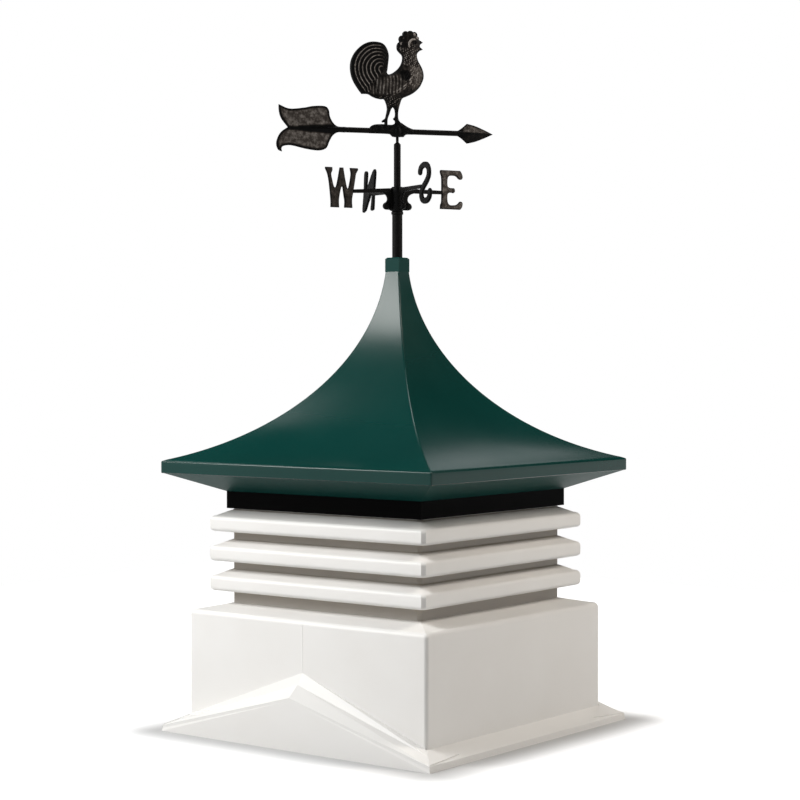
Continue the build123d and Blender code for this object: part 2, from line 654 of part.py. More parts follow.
def head_outline():
    """Neck, comb with its lobes, and an open beak."""
    nape = [(5.2, 71), (4.9, 74), (3.9, 76), (-0.6, 81), (1.9, 89.1)]
    comb = [(3, 94), (6.6, 96.2), (8.4, 99.6), (12.8, 99.4), (17.2, 99.8), (20.3, 97.2)]
    brow = [(21.9, 95.3), (22, 91.8)]
    beak = [(26.3, 89.3), (23, 87), (23.4, 84.6), (26.2, 82.2)]
    throat = [(21.1, 79.6), (19.3, 76.5), (20.8, 71)]
    edge = scaled(FIGURE_HEIGHT, *nape, *comb, *brow)
    front = scaled(FIGURE_HEIGHT, *beak, *throat)
    return make_face(Curve() + [*arcs(*edge), Polyline(edge[-1], *front, edge[0])])


def legs_outline():
    """Both thighs, shanks and spurs, down into the mound."""
    rear = [(-13.5, 34.5), (-11.3, 27), (-10.4, 21), (-12.9, 12.4)]
    rear_spur = [(-15.8, 9.8), (-15.2, 8.6), (-13.4, 9), (-13.4, 5)]
    arch = [(-10.2, 5), (-10.2, 11.7), (-7.2, 21.5), (-4.7, 23.8), (-3.2, 21.8), (-2.3, 17)]
    front_spur = [(-2.2, 13.6), (-4.1, 13), (-3.9, 11.8), (-2.4, 10.6), (-2.4, 5)]
    front = [(1.2, 5), (0.8, 13.3), (0.6, 19.4), (1.5, 24), (4.2, 34.5)]
    return polygon(*scaled(FIGURE_HEIGHT, *rear, *rear_spur, *arch, *front_spur, *front))


def main():
    wing = casting(wing_outline(), BODY_THICKNESS + 2 * WING_RELIEF)
    body = casting(body_outline(), BODY_THICKNESS, BODY_STEP) + wing
    feathers = plume() - body
    hub = vane_hub()
    base = base_shell()
    louvres = louvre_shell()
    compass = compass_hub()
    nodes = {
        "vent_band": vent_band(),
        "roof_soffit": roof_soffit(),
        "roof_shell": roof_shell(),
        "roof_collar": roof_collar(),
        "mast": upright(MAST_RADIUS, MAST_FOOT_HEIGHT, MAST_TOP_HEIGHT),
        "mast_plate": mast_plate(),
        "mast_nut": mast_nut(),
        "mast_collar": mast_collar(),
        "spindle": spindle(),
        "compass_hub": compass,
        "vane_hub": hub,
        "arrow_shaft_front": rod(HUB_FRONT, HEAD_ROOT, ARROW_RADIUS, ARROW_RADIUS),
        "arrow_shaft_rear": rod(-TAIL_ROOT, -HUB_REAR, ARROW_RADIUS, ARROW_RADIUS),
        "arrow_head": arrow_head(),
        "arrow_tail": arrow_tail(),
        "rooster_body": body,
        "rooster_plume": feathers,
        "rooster_head": casting(head_outline(), FIGURE_HEAD_THICKNESS, FIGURE_HEAD_STEP) - body,
        "rooster_legs": casting(legs_outline(), LEG_THICKNESS, LEG_STEP) - body - hub - feathers,
    }
    for side, side_name in ((-1, "left"), (1, "right")):
        nodes[f"base_{side_name}_half"] = side_of(base, side)
        nodes[f"louvre_{side_name}_half"] = side_of(louvres, side)
        nodes[f"{side_name}_eave_skirt"] = eave_strip(side)
        for end, end_name in ((-1, "front"), (1, "back")):
            nodes[f"{end_name}_skirt_{side_name}"] = gable_piece(RIDGE_STRIP, CORNER_STRIP, side, end)
            nodes[f"{end_name}_panel_{side_name}"] = gable_piece(RIDGE_PANEL, CORNER_PANEL, side, end)
    for name, quarter, reach, lift, twist, draw in LETTERS:
        letter = compass_letter(quarter, reach, lift, twist, draw)
        nodes[f"{name}_letter"] = letter
        nodes[f"{name}_arm"] = compass_arm(COMPASS_TURN + 90 * quarter, reach, lift, compass, letter)
    os.makedirs("parts", exist_ok=True)
    for name, solid in nodes.items():
        export_step(solid, f"parts/{name}.step")


main()
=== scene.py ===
import json
import math

import bmesh
import bpy
import numpy as np
from mathutils import Matrix, Vector, geometry


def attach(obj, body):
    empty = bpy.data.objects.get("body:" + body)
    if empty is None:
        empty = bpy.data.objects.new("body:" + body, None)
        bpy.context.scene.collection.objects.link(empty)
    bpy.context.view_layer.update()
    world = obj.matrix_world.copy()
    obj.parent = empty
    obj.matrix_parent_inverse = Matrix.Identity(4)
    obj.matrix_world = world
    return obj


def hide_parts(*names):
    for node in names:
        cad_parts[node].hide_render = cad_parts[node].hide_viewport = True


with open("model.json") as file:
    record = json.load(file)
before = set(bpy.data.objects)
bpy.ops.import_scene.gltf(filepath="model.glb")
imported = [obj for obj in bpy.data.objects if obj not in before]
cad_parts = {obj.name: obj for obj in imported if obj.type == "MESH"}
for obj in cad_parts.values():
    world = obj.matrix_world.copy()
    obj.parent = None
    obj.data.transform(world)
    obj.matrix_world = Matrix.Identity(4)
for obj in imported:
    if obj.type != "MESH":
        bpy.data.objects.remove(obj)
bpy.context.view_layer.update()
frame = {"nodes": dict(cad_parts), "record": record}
MM = 0.001

# Camera, fitted to the photograph's tier corners
CAMERA_AZIMUTH = 37.69
CAMERA_ELEVATION = 0.572
CAMERA_DISTANCE = 4.0312
CAMERA_TARGET_HEIGHT = 0.7106
FOCAL_PIXELS = 1935.39
PRINCIPAL_POINT = (397.28, 384.26)
PICTURE_SIZE = 800
SENSOR_WIDTH = 36.0


def direction(azimuth, elevation=0.0):
    """A unit vector; azimuth 0 is the front, -Y, and 90 is +X."""
    turn = math.radians(azimuth)
    rise = math.radians(elevation)
    flat = math.cos(rise)
    return Vector((math.sin(turn) * flat, -math.cos(turn) * flat, math.sin(rise)))


def make_camera():
    back = direction(CAMERA_AZIMUTH, CAMERA_ELEVATION)
    right = direction(CAMERA_AZIMUTH + 90)
    up = back.cross(right)
    data = bpy.data.cameras.new("camera")
    data.sensor_width = SENSOR_WIDTH
    data.lens = FOCAL_PIXELS * SENSOR_WIDTH / PICTURE_SIZE
    data.shift_x = 0.5 - PRINCIPAL_POINT[0] / PICTURE_SIZE
    data.shift_y = PRINCIPAL_POINT[1] / PICTURE_SIZE - 0.5
    camera = bpy.data.objects.new("camera", data)
    place = Vector((0, 0, CAMERA_TARGET_HEIGHT)) + CAMERA_DISTANCE * back
    camera.matrix_world = Matrix.Translation(place) @ Matrix((right, up, back)).transposed().to_4x4()
    bpy.context.scene.collection.objects.link(camera)
    bpy.context.scene.camera = camera


# Light

# Name, azimuth, elevation, distance, width, height, power and colour
LAMPS = [
    ("left_box", -41, 26, 3.0, 0.6, 1.4, 54, (1.0, 0.99, 0.97)),
    ("left_edge", -86, 34, 2.3, 0.6, 1.2, 5, (1.0, 1.0, 1.0)),
    ("high_front", -18, 40, 3.0, 1.5, 1.0, 54, (1.0, 1.0, 1.0)),
    ("right_box", 120, 36, 3.2, 1.0, 1.0, 68, (1.0, 0.94, 0.87)),
    ("back_box", 212, 28, 3.4, 1.8, 0.6, 2.6, (0.95, 0.98, 1.0)),
    ("overhead", 216, 78, 2.6, 1.2, 1.2, 30, (1.0, 1.0, 1.0)),
]
LAMP_AIM = Vector((0, 0, 0.55))
WORLD_LIGHT = 0.08
CEILING_LIGHT = 0.02
CEILING_RISE = (0.05, 0.26)


def make_lights():
    for name, azimuth, elevation, distance, width, height, power, colour in LAMPS:
        data = bpy.data.lights.new(name, "AREA")
        data.shape = "RECTANGLE"
        data.size = width
        data.size_y = height
        data.energy = power
        data.color = colour
        lamp = bpy.data.objects.new(name, data)
        toward = direction(azimuth, elevation)
        lamp.location = LAMP_AIM + distance * toward
        lamp.rotation_euler = toward.to_track_quat("Z", "Y").to_euler()
        bpy.context.scene.collection.objects.link(lamp)


def mapped(tree, value, low, high, reach=(0.0, 1.0), smooth=False):
    """A value that goes from low to high, numbers or sockets, while the input crosses its reach."""
    node = tree.nodes.new("ShaderNodeMapRange")
    if smooth:
        node.interpolation_type = "SMOOTHSTEP"
    tree.links.new(value, node.inputs["Value"])
    settings = {"From Min": reach[0], "From Max": reach[1], "To Min": low, "To Max": high}
    for name, setting in settings.items():
        if isinstance(setting, (int, float)):
            node.inputs[name].default_value = setting
        else:
            tree.links.new(setting, node.inputs[name])
    return node.outputs["Result"]


def make_world():
    """White where it is seen and, up to a dark ceiling, in gloss; dim where it lights the object."""
    world = bpy.data.worlds.new("studio")
    world.use_nodes = True
    tree = world.node_tree
    background = tree.nodes["Background"]
    background.inputs["Color"].default_value = (1, 1, 1, 1)
    rays = tree.nodes.new("ShaderNodeLightPath").outputs
    place = tree.nodes.new("ShaderNodeTexCoord")
    axes = tree.nodes.new("ShaderNodeSeparateXYZ")
    tree.links.new(place.outputs["Generated"], axes.inputs[0])
    gloss = mapped(tree, axes.outputs["Z"], 1.0, CEILING_LIGHT, CEILING_RISE, smooth=True)
    level = mapped(tree, rays["Is Glossy Ray"], WORLD_LIGHT, gloss)
    level = mapped(tree, rays["Is Transmission Ray"], level, 1.0)
    level = mapped(tree, rays["Is Camera Ray"], level, 1.0)
    tree.links.new(level, background.inputs["Strength"])
    bpy.context.scene.world = world


# Floor. Its glow is low in a band round the object's square foot: a painted shadow there, over the real
# shadow that the lamps cast on it.

FLOOR_HALF = 2.6
FLOOR_COLOUR = (0.45, 0.45, 0.45)
FLOOR_ROUGHNESS = 0.9
FLOOR_NEAR_GLOW = 0.06
FLOOR_FAR_GLOW = 1.0
FOOT_HALF = 0.345
PAINTED_SHADOW_REACH = 0.145


def make_floor():
    """A pale floor that glows white where it is seen and in gloss, keeps the object's real shadow, and
    has a painted shadow round the foot where the glow drops.
    """
    corners = [(-1, -1), (1, -1), (1, 1), (-1, 1)]
    mesh = bpy.data.meshes.new("floor")
    mesh.from_pydata([(x * FLOOR_HALF, y * FLOOR_HALF, 0) for x, y in corners], [], [(0, 1, 2, 3)])
    floor = bpy.data.objects.new("floor", mesh)
    bpy.context.scene.collection.objects.link(floor)
    material, shader = new_material("floor_white", FLOOR_COLOUR, FLOOR_ROUGHNESS, specular=0.0)
    tree = material.node_tree
    spot = tree.nodes.new("ShaderNodeTexCoord").outputs["Object"]
    foot = (FOOT_HALF, FOOT_HALF, 0)
    for operation, amount in (("ABSOLUTE", None), ("SUBTRACT", foot), ("MAXIMUM", (0, 0, 0))):
        node = tree.nodes.new("ShaderNodeVectorMath")
        node.operation = operation
        tree.links.new(spot, node.inputs[0])
        if amount:
            node.inputs[1].default_value = amount
        spot = node.outputs["Vector"]
    distance = tree.nodes.new("ShaderNodeVectorMath")
    distance.operation = "LENGTH"
    tree.links.new(spot, distance.inputs[0])
    # The glow drops towards the foot: a painted shadow.
    reach = (0.0, PAINTED_SHADOW_REACH)
    glow = mapped(tree, distance.outputs["Value"], FLOOR_NEAR_GLOW, FLOOR_FAR_GLOW, reach, smooth=True)
    rays = tree.nodes.new("ShaderNodeLightPath").outputs
    seen = mapped(tree, rays["Is Camera Ray"], rays["Is Glossy Ray"], 1.0)
    seen = mapped(tree, rays["Is Transmission Ray"], seen, 1.0)
    shader.inputs["Emission Color"].default_value = (1, 1, 1, 1)
    tree.links.new(mapped(tree, seen, 0.0, glow), shader.inputs["Emission Strength"])
    mesh.materials.append(material)


# Materials

WORN_GAIN = 0.68
WORN_LOSS = 0.13
PATCH_SHARE = 0.55
PATCH_LIMITS = (0.4, 0.95)
# Colour of the painted shade in the louvres' recesses
RECESS_PAINTED_SHADE = (0.40, 0.36, 0.31)
WHITE_COLOURS = [(0.77, 0.755, 0.73), (0.83, 0.825, 0.81)]
GREEN_COLOURS = [(0.0002, 0.026, 0.022), (0.0005, 0.036, 0.030)]
BLACK_COLOURS = [(0.0002, 0.0002, 0.0002), (0.0008, 0.0008, 0.0009)]
ZINC_COLOURS = [(0.36, 0.36, 0.37), (0.52, 0.52, 0.53)]
# From sound paint to bare casting
CASTING_COLOURS = [
    (0.0006, 0.0006, 0.0006),
    (0.004, 0.0035, 0.003),
    (0.045, 0.038, 0.033),
    (0.27, 0.245, 0.225),
]


def new_material(name, colour, roughness, specular=0.5, metallic=0.0):
    material = bpy.data.materials.new(name)
    material.use_nodes = True
    shader = material.node_tree.nodes["Principled BSDF"]
    shader.inputs["Base Color"].default_value = (*colour, 1)
    shader.inputs["Roughness"].default_value = roughness
    shader.inputs["Specular IOR Level"].default_value = specular
    shader.inputs["Metallic"].default_value = metallic
    return material, shader


def noise(tree, scale, detail, roughness=0.5):
    """Noise in the object's own coordinates, scale in cells per metre."""
    place = tree.nodes.new("ShaderNodeTexCoord")
    texture = tree.nodes.new("ShaderNodeTexNoise")
    texture.inputs["Scale"].default_value = scale
    texture.inputs["Detail"].default_value = detail
    texture.inputs["Roughness"].default_value = roughness
    tree.links.new(place.outputs["Object"], texture.inputs["Vector"])
    return texture.outputs["Fac"]


def spread(tree, value, limits, colours, target):
    """Sends a value between two limits through evenly placed colours into a socket."""
    ramp = tree.nodes.new("ShaderNodeValToRGB")
    ramp.color_ramp.elements[0].color = (*colours[0], 1)
    ramp.color_ramp.elements[1].color = (*colours[-1], 1)
    for place, colour in enumerate(colours[1:-1], 1):
        element = ramp.color_ramp.elements.new(place / (len(colours) - 1))
        element.color = (*colour, 1)
    tree.links.new(mapped(tree, value, 0.0, 1.0, limits), ramp.inputs["Fac"])
    tree.links.new(ramp.outputs["Color"], target)


def bump(tree, shader, height, strength, distance):
    node = tree.nodes.new("ShaderNodeBump")
    node.inputs["Strength"].default_value = strength
    node.inputs["Distance"].default_value = distance
    tree.links.new(height, node.inputs["Height"])
    tree.links.new(node.outputs["Normal"], shader.inputs["Normal"])


def wear_and_shade_mask(tree):
    # The attribute holds wear on the castings and painted shade in the louvres' recesses.
    mask = tree.nodes.new("ShaderNodeAttribute")
    mask.attribute_name = "wear_and_shade"
    return mask.outputs["Fac"]


def mottled(name, colours, roughness, scale, detail, specular=0.5, metallic=0.0):
    """A material that drifts between two colours and two roughnesses in soft clouds."""
    middle = [(low + high) / 2 for low, high in zip(*colours)]
    material, shader = new_material(name, middle, roughness[0], specular, metallic)
    tree = material.node_tree
    clouds = noise(tree, scale, detail)
    spread(tree, clouds, (0.0, 1.0), colours, shader.inputs["Base Color"])
    tree.links.new(mapped(tree, clouds, *roughness), shader.inputs["Roughness"])
    return material, shader


def white_plastic(name, painted_recess_shade):
    """Satin moulded plastic with faint flow marks, and painted shade where a vertex attribute marks a
    recess.
    """
    material, shader = mottled(name, WHITE_COLOURS, (0.3, 0.42), 7.0, 3.0, specular=0.3)
    tree = material.node_tree
    if painted_recess_shade:
        # Mixes the colour towards painted shade where the attribute marks a recess.
        unshaded = shader.inputs["Base Color"].links[0].from_socket
        mix = tree.nodes.new("ShaderNodeMix")
        mix.data_type = "RGBA"
        tree.links.new(wear_and_shade_mask(tree), mix.inputs["Factor"])
        tree.links.new(unshaded, mix.inputs["A"])
        mix.inputs["B"].default_value = (*RECESS_PAINTED_SHADE, 1)
        tree.links.new(mix.outputs["Result"], shader.inputs["Base Color"])
    bump(tree, shader, noise(tree, 900.0, 2.0), 0.12, 0.0004)
    return material


def green_plastic(name, specular, roughness):
    """Moulded plastic, very slightly wavy."""
    material, shader = mottled(name, GREEN_COLOURS, roughness, 5.0, 3.0, specular)
    tree = material.node_tree
    bump(tree, shader, noise(tree, 14.0, 2.0), 0.05, 0.003)
    return material


def black_plastic(name):
    """Matt moulded plastic with a fine grain."""
    material, shader = mottled(name, BLACK_COLOURS, (0.5, 0.65), 20.0, 3.0, specular=0.02)
    tree = material.node_tree
    bump(tree, shader, noise(tree, 700.0, 2.0), 0.1, 0.0004)
    return material


def cast_black(name, wear_and_shade):
    """Black paint on a sand casting, rubbed to a brown grey where the worn attribute stands high."""
    material, shader = new_material(name, CASTING_COLOURS[1], 0.5, specular=0.06)
    tree = material.node_tree
    patches = noise(tree, 110.0, 6.0, 0.65)
    amount = tree.nodes.new("ShaderNodeMath")
    amount.operation = "MULTIPLY_ADD"
    tree.links.new(patches, amount.inputs[0])
    amount.inputs[1].default_value = PATCH_SHARE
    amount.inputs[2].default_value = (1 - PATCH_SHARE) / 2
    if wear_and_shade:
        scaled = tree.nodes.new("ShaderNodeMath")
        scaled.operation = "MULTIPLY_ADD"
        scaled.inputs[1].default_value = WORN_GAIN
        scaled.inputs[2].default_value = (1 - PATCH_SHARE) / 2 - WORN_LOSS
        tree.links.new(wear_and_shade_mask(tree), scaled.inputs[0])
        tree.links.new(scaled.outputs[0], amount.inputs[2])
    spread(tree, amount.outputs[0], PATCH_LIMITS, CASTING_COLOURS, shader.inputs["Base Color"])
    tree.links.new(mapped(tree, patches, 0.6, 0.4), shader.inputs["Roughness"])
    bump(tree, shader, noise(tree, 480.0, 4.0, 0.6), 0.45, 0.001)
    return material


SLOT_MATERIALS = {
    "white": white_plastic("white_plastic", False),
    "black_band": black_plastic("black_plastic"),
    "green_roof": green_plastic("green_plastic", 0.25, (0.18, 0.3)),
    "black_metal": cast_black("cast_black", False),
    "fixings": mottled("zinc_steel", ZINC_COLOURS, (0.28, 0.45), 60.0, 4.0, metallic=1.0)[0],
}
SATIN_GREEN = green_plastic("green_satin", 0.1, (0.45, 0.6))
SATIN_NODES = ("roof_soffit", "roof_collar")
# Materials for pieces with a vertex attribute: wear on the black castings, painted shade in the white
# louvres' recesses.
WORN_AND_SHADED_MATERIALS = {
    "black_metal": cast_black("worn_black", True),
    "white": white_plastic("painted_shade_white", True),
}


def dress_cad():
    """Every CAD node gets the material of its slot, or the duller green of the satin nodes."""
    for part in frame["record"]["subparts"]:
        mesh = frame["nodes"][part["node"]].data
        mesh.materials.clear()
        satin = part["node"] in SATIN_NODES
        mesh.materials.append(SATIN_GREEN if satin else SLOT_MATERIALS[part["material_slot"]])


# Meshes

CASTING_CREASE = 50.0
TURNED_SEGMENTS = 48


def add_piece(name, vertices, faces, slot, body, replaced=(), crease=35.0, wear_and_shade=None):
    """A smooth-shaded mesh with sharp edges above the crease angle, riding on a body."""
    mesh = bpy.data.meshes.new(name)
    mesh.from_pydata([tuple(v) for v in vertices], [], faces)
    if wear_and_shade is not None:
        # Wear on the castings, painted shade in the louvres' recesses.
        values = np.array(wear_and_shade, np.float32)
        mesh.attributes.new("wear_and_shade", "FLOAT", "POINT").data.foreach_set("value", values)
    work = bmesh.new()
    work.from_mesh(mesh)
    bmesh.ops.recalc_face_normals(work, faces=work.faces)
    limit = math.radians(crease)
    for face in work.faces:
        face.smooth = True
    for edge in work.edges:
        edge.smooth = edge.is_manifold and edge.calc_face_angle(0) < limit
    work.to_mesh(mesh)
    work.free()
    materials = SLOT_MATERIALS if wear_and_shade is None else WORN_AND_SHADED_MATERIALS
    mesh.materials.append(materials[slot])
    piece = bpy.data.objects.new(name, mesh)
    bpy.context.scene.collection.objects.link(piece)
    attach(piece, body)
    if replaced:
        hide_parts(*replaced)


def ring_faces(rings, size, closed=False):
    """Faces between rings of as many points each, and from the last ring to the first if closed."""
    faces = []
    for row in range(rings if closed else rings - 1):
        start = row * size
        after = (row + 1) % rings * size
        for n in range(size):
            m = (n + 1) % size
            faces.append((start + n, start + m, after + m, after + n))
    return faces


def lathe(profile):
    """A turned solid from radius and height pairs, with a flat face at each end."""
    vertices = []
    for radius, height in profile:
        for n in range(TURNED_SEGMENTS):
            turn = math.tau * n / TURNED_SEGMENTS
            vertices.append((radius * math.cos(turn), radius * math.sin(turn), height))
    faces = ring_faces(len(profile), TURNED_SEGMENTS)
    faces.append(tuple(reversed(range(TURNED_SEGMENTS))))
    faces.append(tuple(range(len(vertices) - TURNED_SEGMENTS, len(vertices))))
    return vertices, faces


# Castings. Outlines are drawn flat in metres: x runs out from the axis and y is the height.

# Shares of the mesh step: height of a row of the grid, the grid's gap to the outline, and the
# distance under which two points of the outline are one
ROW_PITCH = 0.866
RIM_GAP = 0.55
SAME_POINT = 0.05


def smooth_run(points, step):
    """A rounded curve through the points, in even steps."""
    if len(points) < 3:
        return [np.array(p, float) for p in points]
    points = [np.array(p, float) for p in points]
    ends = [2 * points[0] - points[1], *points, 2 * points[-1] - points[-2]]
    curve = []
    for n in range(1, len(ends) - 2):
        p0, p1, p2, p3 = ends[n - 1 : n + 3]
        count = max(2, int(np.linalg.norm(p2 - p1) / step))
        slope = p2 - p0
        square = 2 * p0 - 5 * p1 + 4 * p2 - p3
        cube = 3 * p1 - p0 - 3 * p2 + p3
        for t in np.linspace(0, 1, count, endpoint=False):
            curve.append(0.5 * (2 * p1 + slope * t + square * t**2 + cube * t**3))
    curve.append(points[-1])
    return curve


def closed_outline(runs, step):
    """Joins smooth runs end to end into one closed loop of even short edges."""
    loop = []
    for run in runs:
        for point in smooth_run(run, step):
            if not loop or np.linalg.norm(point - loop[-1]) > step * SAME_POINT:
                loop.append(point)
    if np.linalg.norm(loop[0] - loop[-1]) < step * SAME_POINT:
        loop.pop()
    even = []
    for n, point in enumerate(loop):
        after = loop[(n + 1) % len(loop)]
        count = max(1, int(round(np.linalg.norm(after - point) / step)))
        for t in range(count):
            even.append(point + (after - point) * t / count)
    return np.array(even)


def in_chunks(measure, points, chunk=1500):
    return np.concatenate([measure(points[n : n + chunk]) for n in range(0, len(points), chunk)])


def line_distance(points, starts, ends):
    """Shortest distance from each point to any of the edges."""
    run = ends - starts
    length = np.maximum((run**2).sum(1), 1e-18)

    def measure(some):
        offset = some[:, None, :] - starts[None]
        along = np.clip((offset * run[None]).sum(2) / length[None], 0, 1)
        nearest = starts[None] + along[..., None] * run[None]
        return np.sqrt(((some[:, None, :] - nearest) ** 2).sum(2)).min(1)

    return in_chunks(measure, points)


def edge_distance(points, loop):
    return line_distance(points, loop, np.roll(loop, -1, axis=0))


def path_distance(points, path):
    path = np.array(path, float)
    return line_distance(points, path[:-1], path[1:])


def inside(points, loop):
    """Whether each point lies inside the loop."""
    x1, y1 = loop[:, 0][None], loop[:, 1][None]
    x2, y2 = np.roll(loop[:, 0], -1)[None], np.roll(loop[:, 1], -1)[None]
    rise = np.where(np.abs(y2 - y1) < 1e-15, 1e-15, y2 - y1)

    def measure(some):
        x, y = some[:, 0][:, None], some[:, 1][:, None]
        crosses = (y1 > y) != (y2 > y)
        return (crosses & (x < (x2 - x1) * (y - y1) / rise + x1)).sum(1) % 2 == 1

    return in_chunks(measure, points)


def relief(runs, step, shape, turn, height):
    """A two-sided casting; the shape gives half thickness and wear from place and depth inside."""
    loop = closed_outline(runs, step)
    low = loop.min(0)
    high = loop.max(0)
    rows = int((high[1] - low[1]) / (step * ROW_PITCH)) + 1
    columns = int((high[0] - low[0]) / step) + 2
    grid = np.array(
        [
            (low[0] + (column + 0.5 * (row % 2)) * step, low[1] + row * step * ROW_PITCH)
            for row in range(rows)
            for column in range(columns)
        ]
    )
    grid = grid[inside(grid, loop)]
    grid = grid[edge_distance(grid, loop) > step * RIM_GAP]
    points = [Vector(p) for p in np.vstack([loop, grid])]
    count = len(loop)
    rim = [(n, (n + 1) % count) for n in range(count)]
    made, _, triangles, *_ = geometry.delaunay_2d_cdt(points, rim, [], 1, 1e-7)
    made = np.array([tuple(v) for v in made])
    half, wear_and_shade = shape(made, edge_distance(made, loop))
    run = np.array(direction(turn + 90))
    side = np.array(direction(turn + 180))
    flat = made[:, :1] * run[None] + np.array([0, 0, height])[None]
    flat[:, 2] += made[:, 1]
    vertices = np.vstack([flat + half[:, None] * side[None], flat - half[:, None] * side[None]])
    total = len(made)
    faces = [tuple(t) for t in triangles]
    faces += [tuple(total + n for n in reversed(t)) for t in triangles]
    used = {edge for a, b, c in triangles for edge in ((a, b), (b, c), (c, a))}
    faces += [(b, a, total + a, total + b) for a, b in used if (b, a) not in used]
    return vertices, faces, np.concatenate([wear_and_shade, wear_and_shade])


def hundredths(size, points):
    return [(x * size / 100, y * size / 100) for x, y in points]


def dome(depth, width):
    """A quarter round: 0 at the edge, 1 at the width."""
    share = np.clip(depth / width, 0, 1)
    return np.sqrt(1 - (1 - share) ** 2)


def hill(points, centre, reach_x, reach_y):
    """A round hill: 1 at its centre, 0 beyond its ellipse."""
    far = ((points[:, 0] - centre[0]) / reach_x) ** 2 + ((points[:, 1] - centre[1]) / reach_y) ** 2
    return np.clip(1 - far, 0, 1) ** 0.5


def fade(value, low, high):
    """0 below the low end, 1 above the high end, smooth between."""
    share = np.clip((value - low) / (high - low), 0, 1)
    return share * share * (3 - 2 * share)


def within(value, rise, fall):
    """1 between two spans, fading in over the first and out over the second."""
    return fade(value, *rise) * (1 - fade(value, *fall))


def crests(value, pitch, power):
    """Ridges one pitch apart: 1 on each crest, 0 half way to the next."""
    return (1 - np.abs(2 * ((value / pitch) % 1) - 1)) ** power


def line_at(distance, place, width):
    """A soft line where the distance has a given value."""
    return np.exp(-(((distance - place) / width) ** 2))


def add_relief(name, replaced, runs, step, shape):
    """A casting of the vane, in the plane of the arrow."""
    vertices, faces, wear_and_shade = relief(runs, step, shape, VANE_TURN, ARROW_HEIGHT)
    add_piece(name, vertices, faces, "black_metal", "vane", replaced, CASTING_CREASE, wear_and_shade)


# Figure. Its outline and forms are in hundredths of its height above the arrow.

VANE_TURN = 53.3
ARROW_HEIGHT = 1.2365
FIGURE_HEIGHT = 0.210
FIGURE_STEP = 0.0012
UNIT = FIGURE_HEIGHT / 100

REAR_LEG = [
    (-13.4, 5), (-13.3, 8.6), (-15.2, 8.3), (-16, 9.5), (-14.4, 11.2), (-12.6, 12.6), (-11.4, 17),
    (-10.6, 21.5),
]
RUMP = [
    (-10.6, 21.5), (-11.3, 26), (-13.6, 31), (-17, 31.2), (-22, 32), (-26.5, 33.8), (-29.6, 35.6),
    (-33, 35.9), (-36.6, 35.7),
]
SWEEP = [
    (-36.6, 35.7), (-40.6, 40.8), (-44.5, 46.8), (-47.2, 53.2), (-48.3, 60), (-48, 66),
    (-46.3, 71.4), (-43.2, 76.8), (-39, 81.4), (-36, 83.9), (-32.3, 86), (-28, 87.4),
    (-23.4, 87.8), (-18, 87.3), (-13.8, 85.4), (-10.7, 81.2), (-9, 75.7), (-9, 71), (-9.6, 66),
    (-10.2, 61), (-10.9, 57.6),
]
SADDLE = [
    (-10.9, 57.6), (-9.6, 56.1), (-7.4, 56.4), (-4, 58.2), (0, 61.4), (2.9, 65.2), (4.6, 69.5),
    (5, 73.4), (4.2, 75.8),
]
NAPE = [(4.2, 75.8), (2.2, 77.6), (-0.2, 80.3), (-0.8, 83.6), (-0.1, 86.6), (1.9, 88.8)]
COMB = [
    [(1.9, 88.8), (1.2, 91), (1.9, 93.6), (3.8, 95), (5.2, 95)],
    [(5.2, 95), (5.2, 97.2), (6.8, 99.2), (9, 99.6), (10.4, 98.9)],
    [(10.4, 98.9), (12, 100), (14.6, 99.9), (16, 98.8)],
    [(16, 98.8), (17.8, 99.2), (20, 97.8), (20.6, 95.6), (20.2, 94.8)],
    [(20.2, 94.8), (21.6, 94.2), (22.2, 92.8), (22, 91.4)],
]
BEAK = [
    [(22, 91.4), (24.2, 90.2), (26.2, 88.8)],
    [(26.2, 88.8), (24.2, 87.4), (23, 86), (23.2, 84.4), (24.8, 83), (26.2, 81.8)],
    [(26.2, 81.8), (24, 81), (22.2, 79.9), (20.8, 78.4), (20, 76.8)],
]
BREAST = [
    (20, 76.8), (20.2, 74), (21.4, 70.4), (23.8, 66.2), (25.8, 62.2), (26.9, 58), (26.9, 53.6),
    (25.4, 49.2), (22.8, 44.4), (19, 40.4), (14.5, 37.2), (9.6, 34.8), (5.8, 33.2), (4, 31.2),
]
FRONT_LEG = [(4, 31.2), (3, 28.2), (1.7, 23.6), (0.8, 19), (0.8, 13.6), (1.5, 11), (3.4, 8.4), (3.4, 5)]
BETWEEN = [
    [(3.4, 5), (-2.6, 5)],
    [(-2.6, 5), (-2.5, 10), (-3.9, 11.4), (-4.2, 12.9), (-2.9, 13.8), (-2.3, 17), (-2.9, 21.4),
     (-4.7, 23.6), (-6.6, 21.5)],
    [(-6.6, 21.5), (-8.3, 16.6), (-10, 11.6), (-10.2, 5)],
    [(-10.2, 5), (-13.4, 5)],
]
FIGURE_RUNS = [REAR_LEG, RUMP, SWEEP, SADDLE, NAPE, *COMB, *BEAK, BREAST, FRONT_LEG, *BETWEEN]

PLUME_CENTRE = (-16.5, 60.5)
PLUME_RINGS = 8.2
# The plume's feathers run on from its outline under the body along this line
PLUME_UNDER = [(-8.0, 50.0), (-9.0, 24.0), (-20.0, 10.0), (-29.0, 16.0), (-33.5, 27.0)]
WING_LINE = [(12.5, 51), (9.5, 47), (5, 42.6), (-1, 38.6), (-6, 36.4), (-12, 34.6)]
WING_DROPS = (-1.2, 1.5)
COMB_BEADS = [(11.1, 95.2), (16.8, 96.0), (20.0, 92.9), (6.2, 91.0), (3.6, 86.6), (3.4, 82.4)]
EYE = (16.4, 88.2)
FACE = (16.3, 85.6)
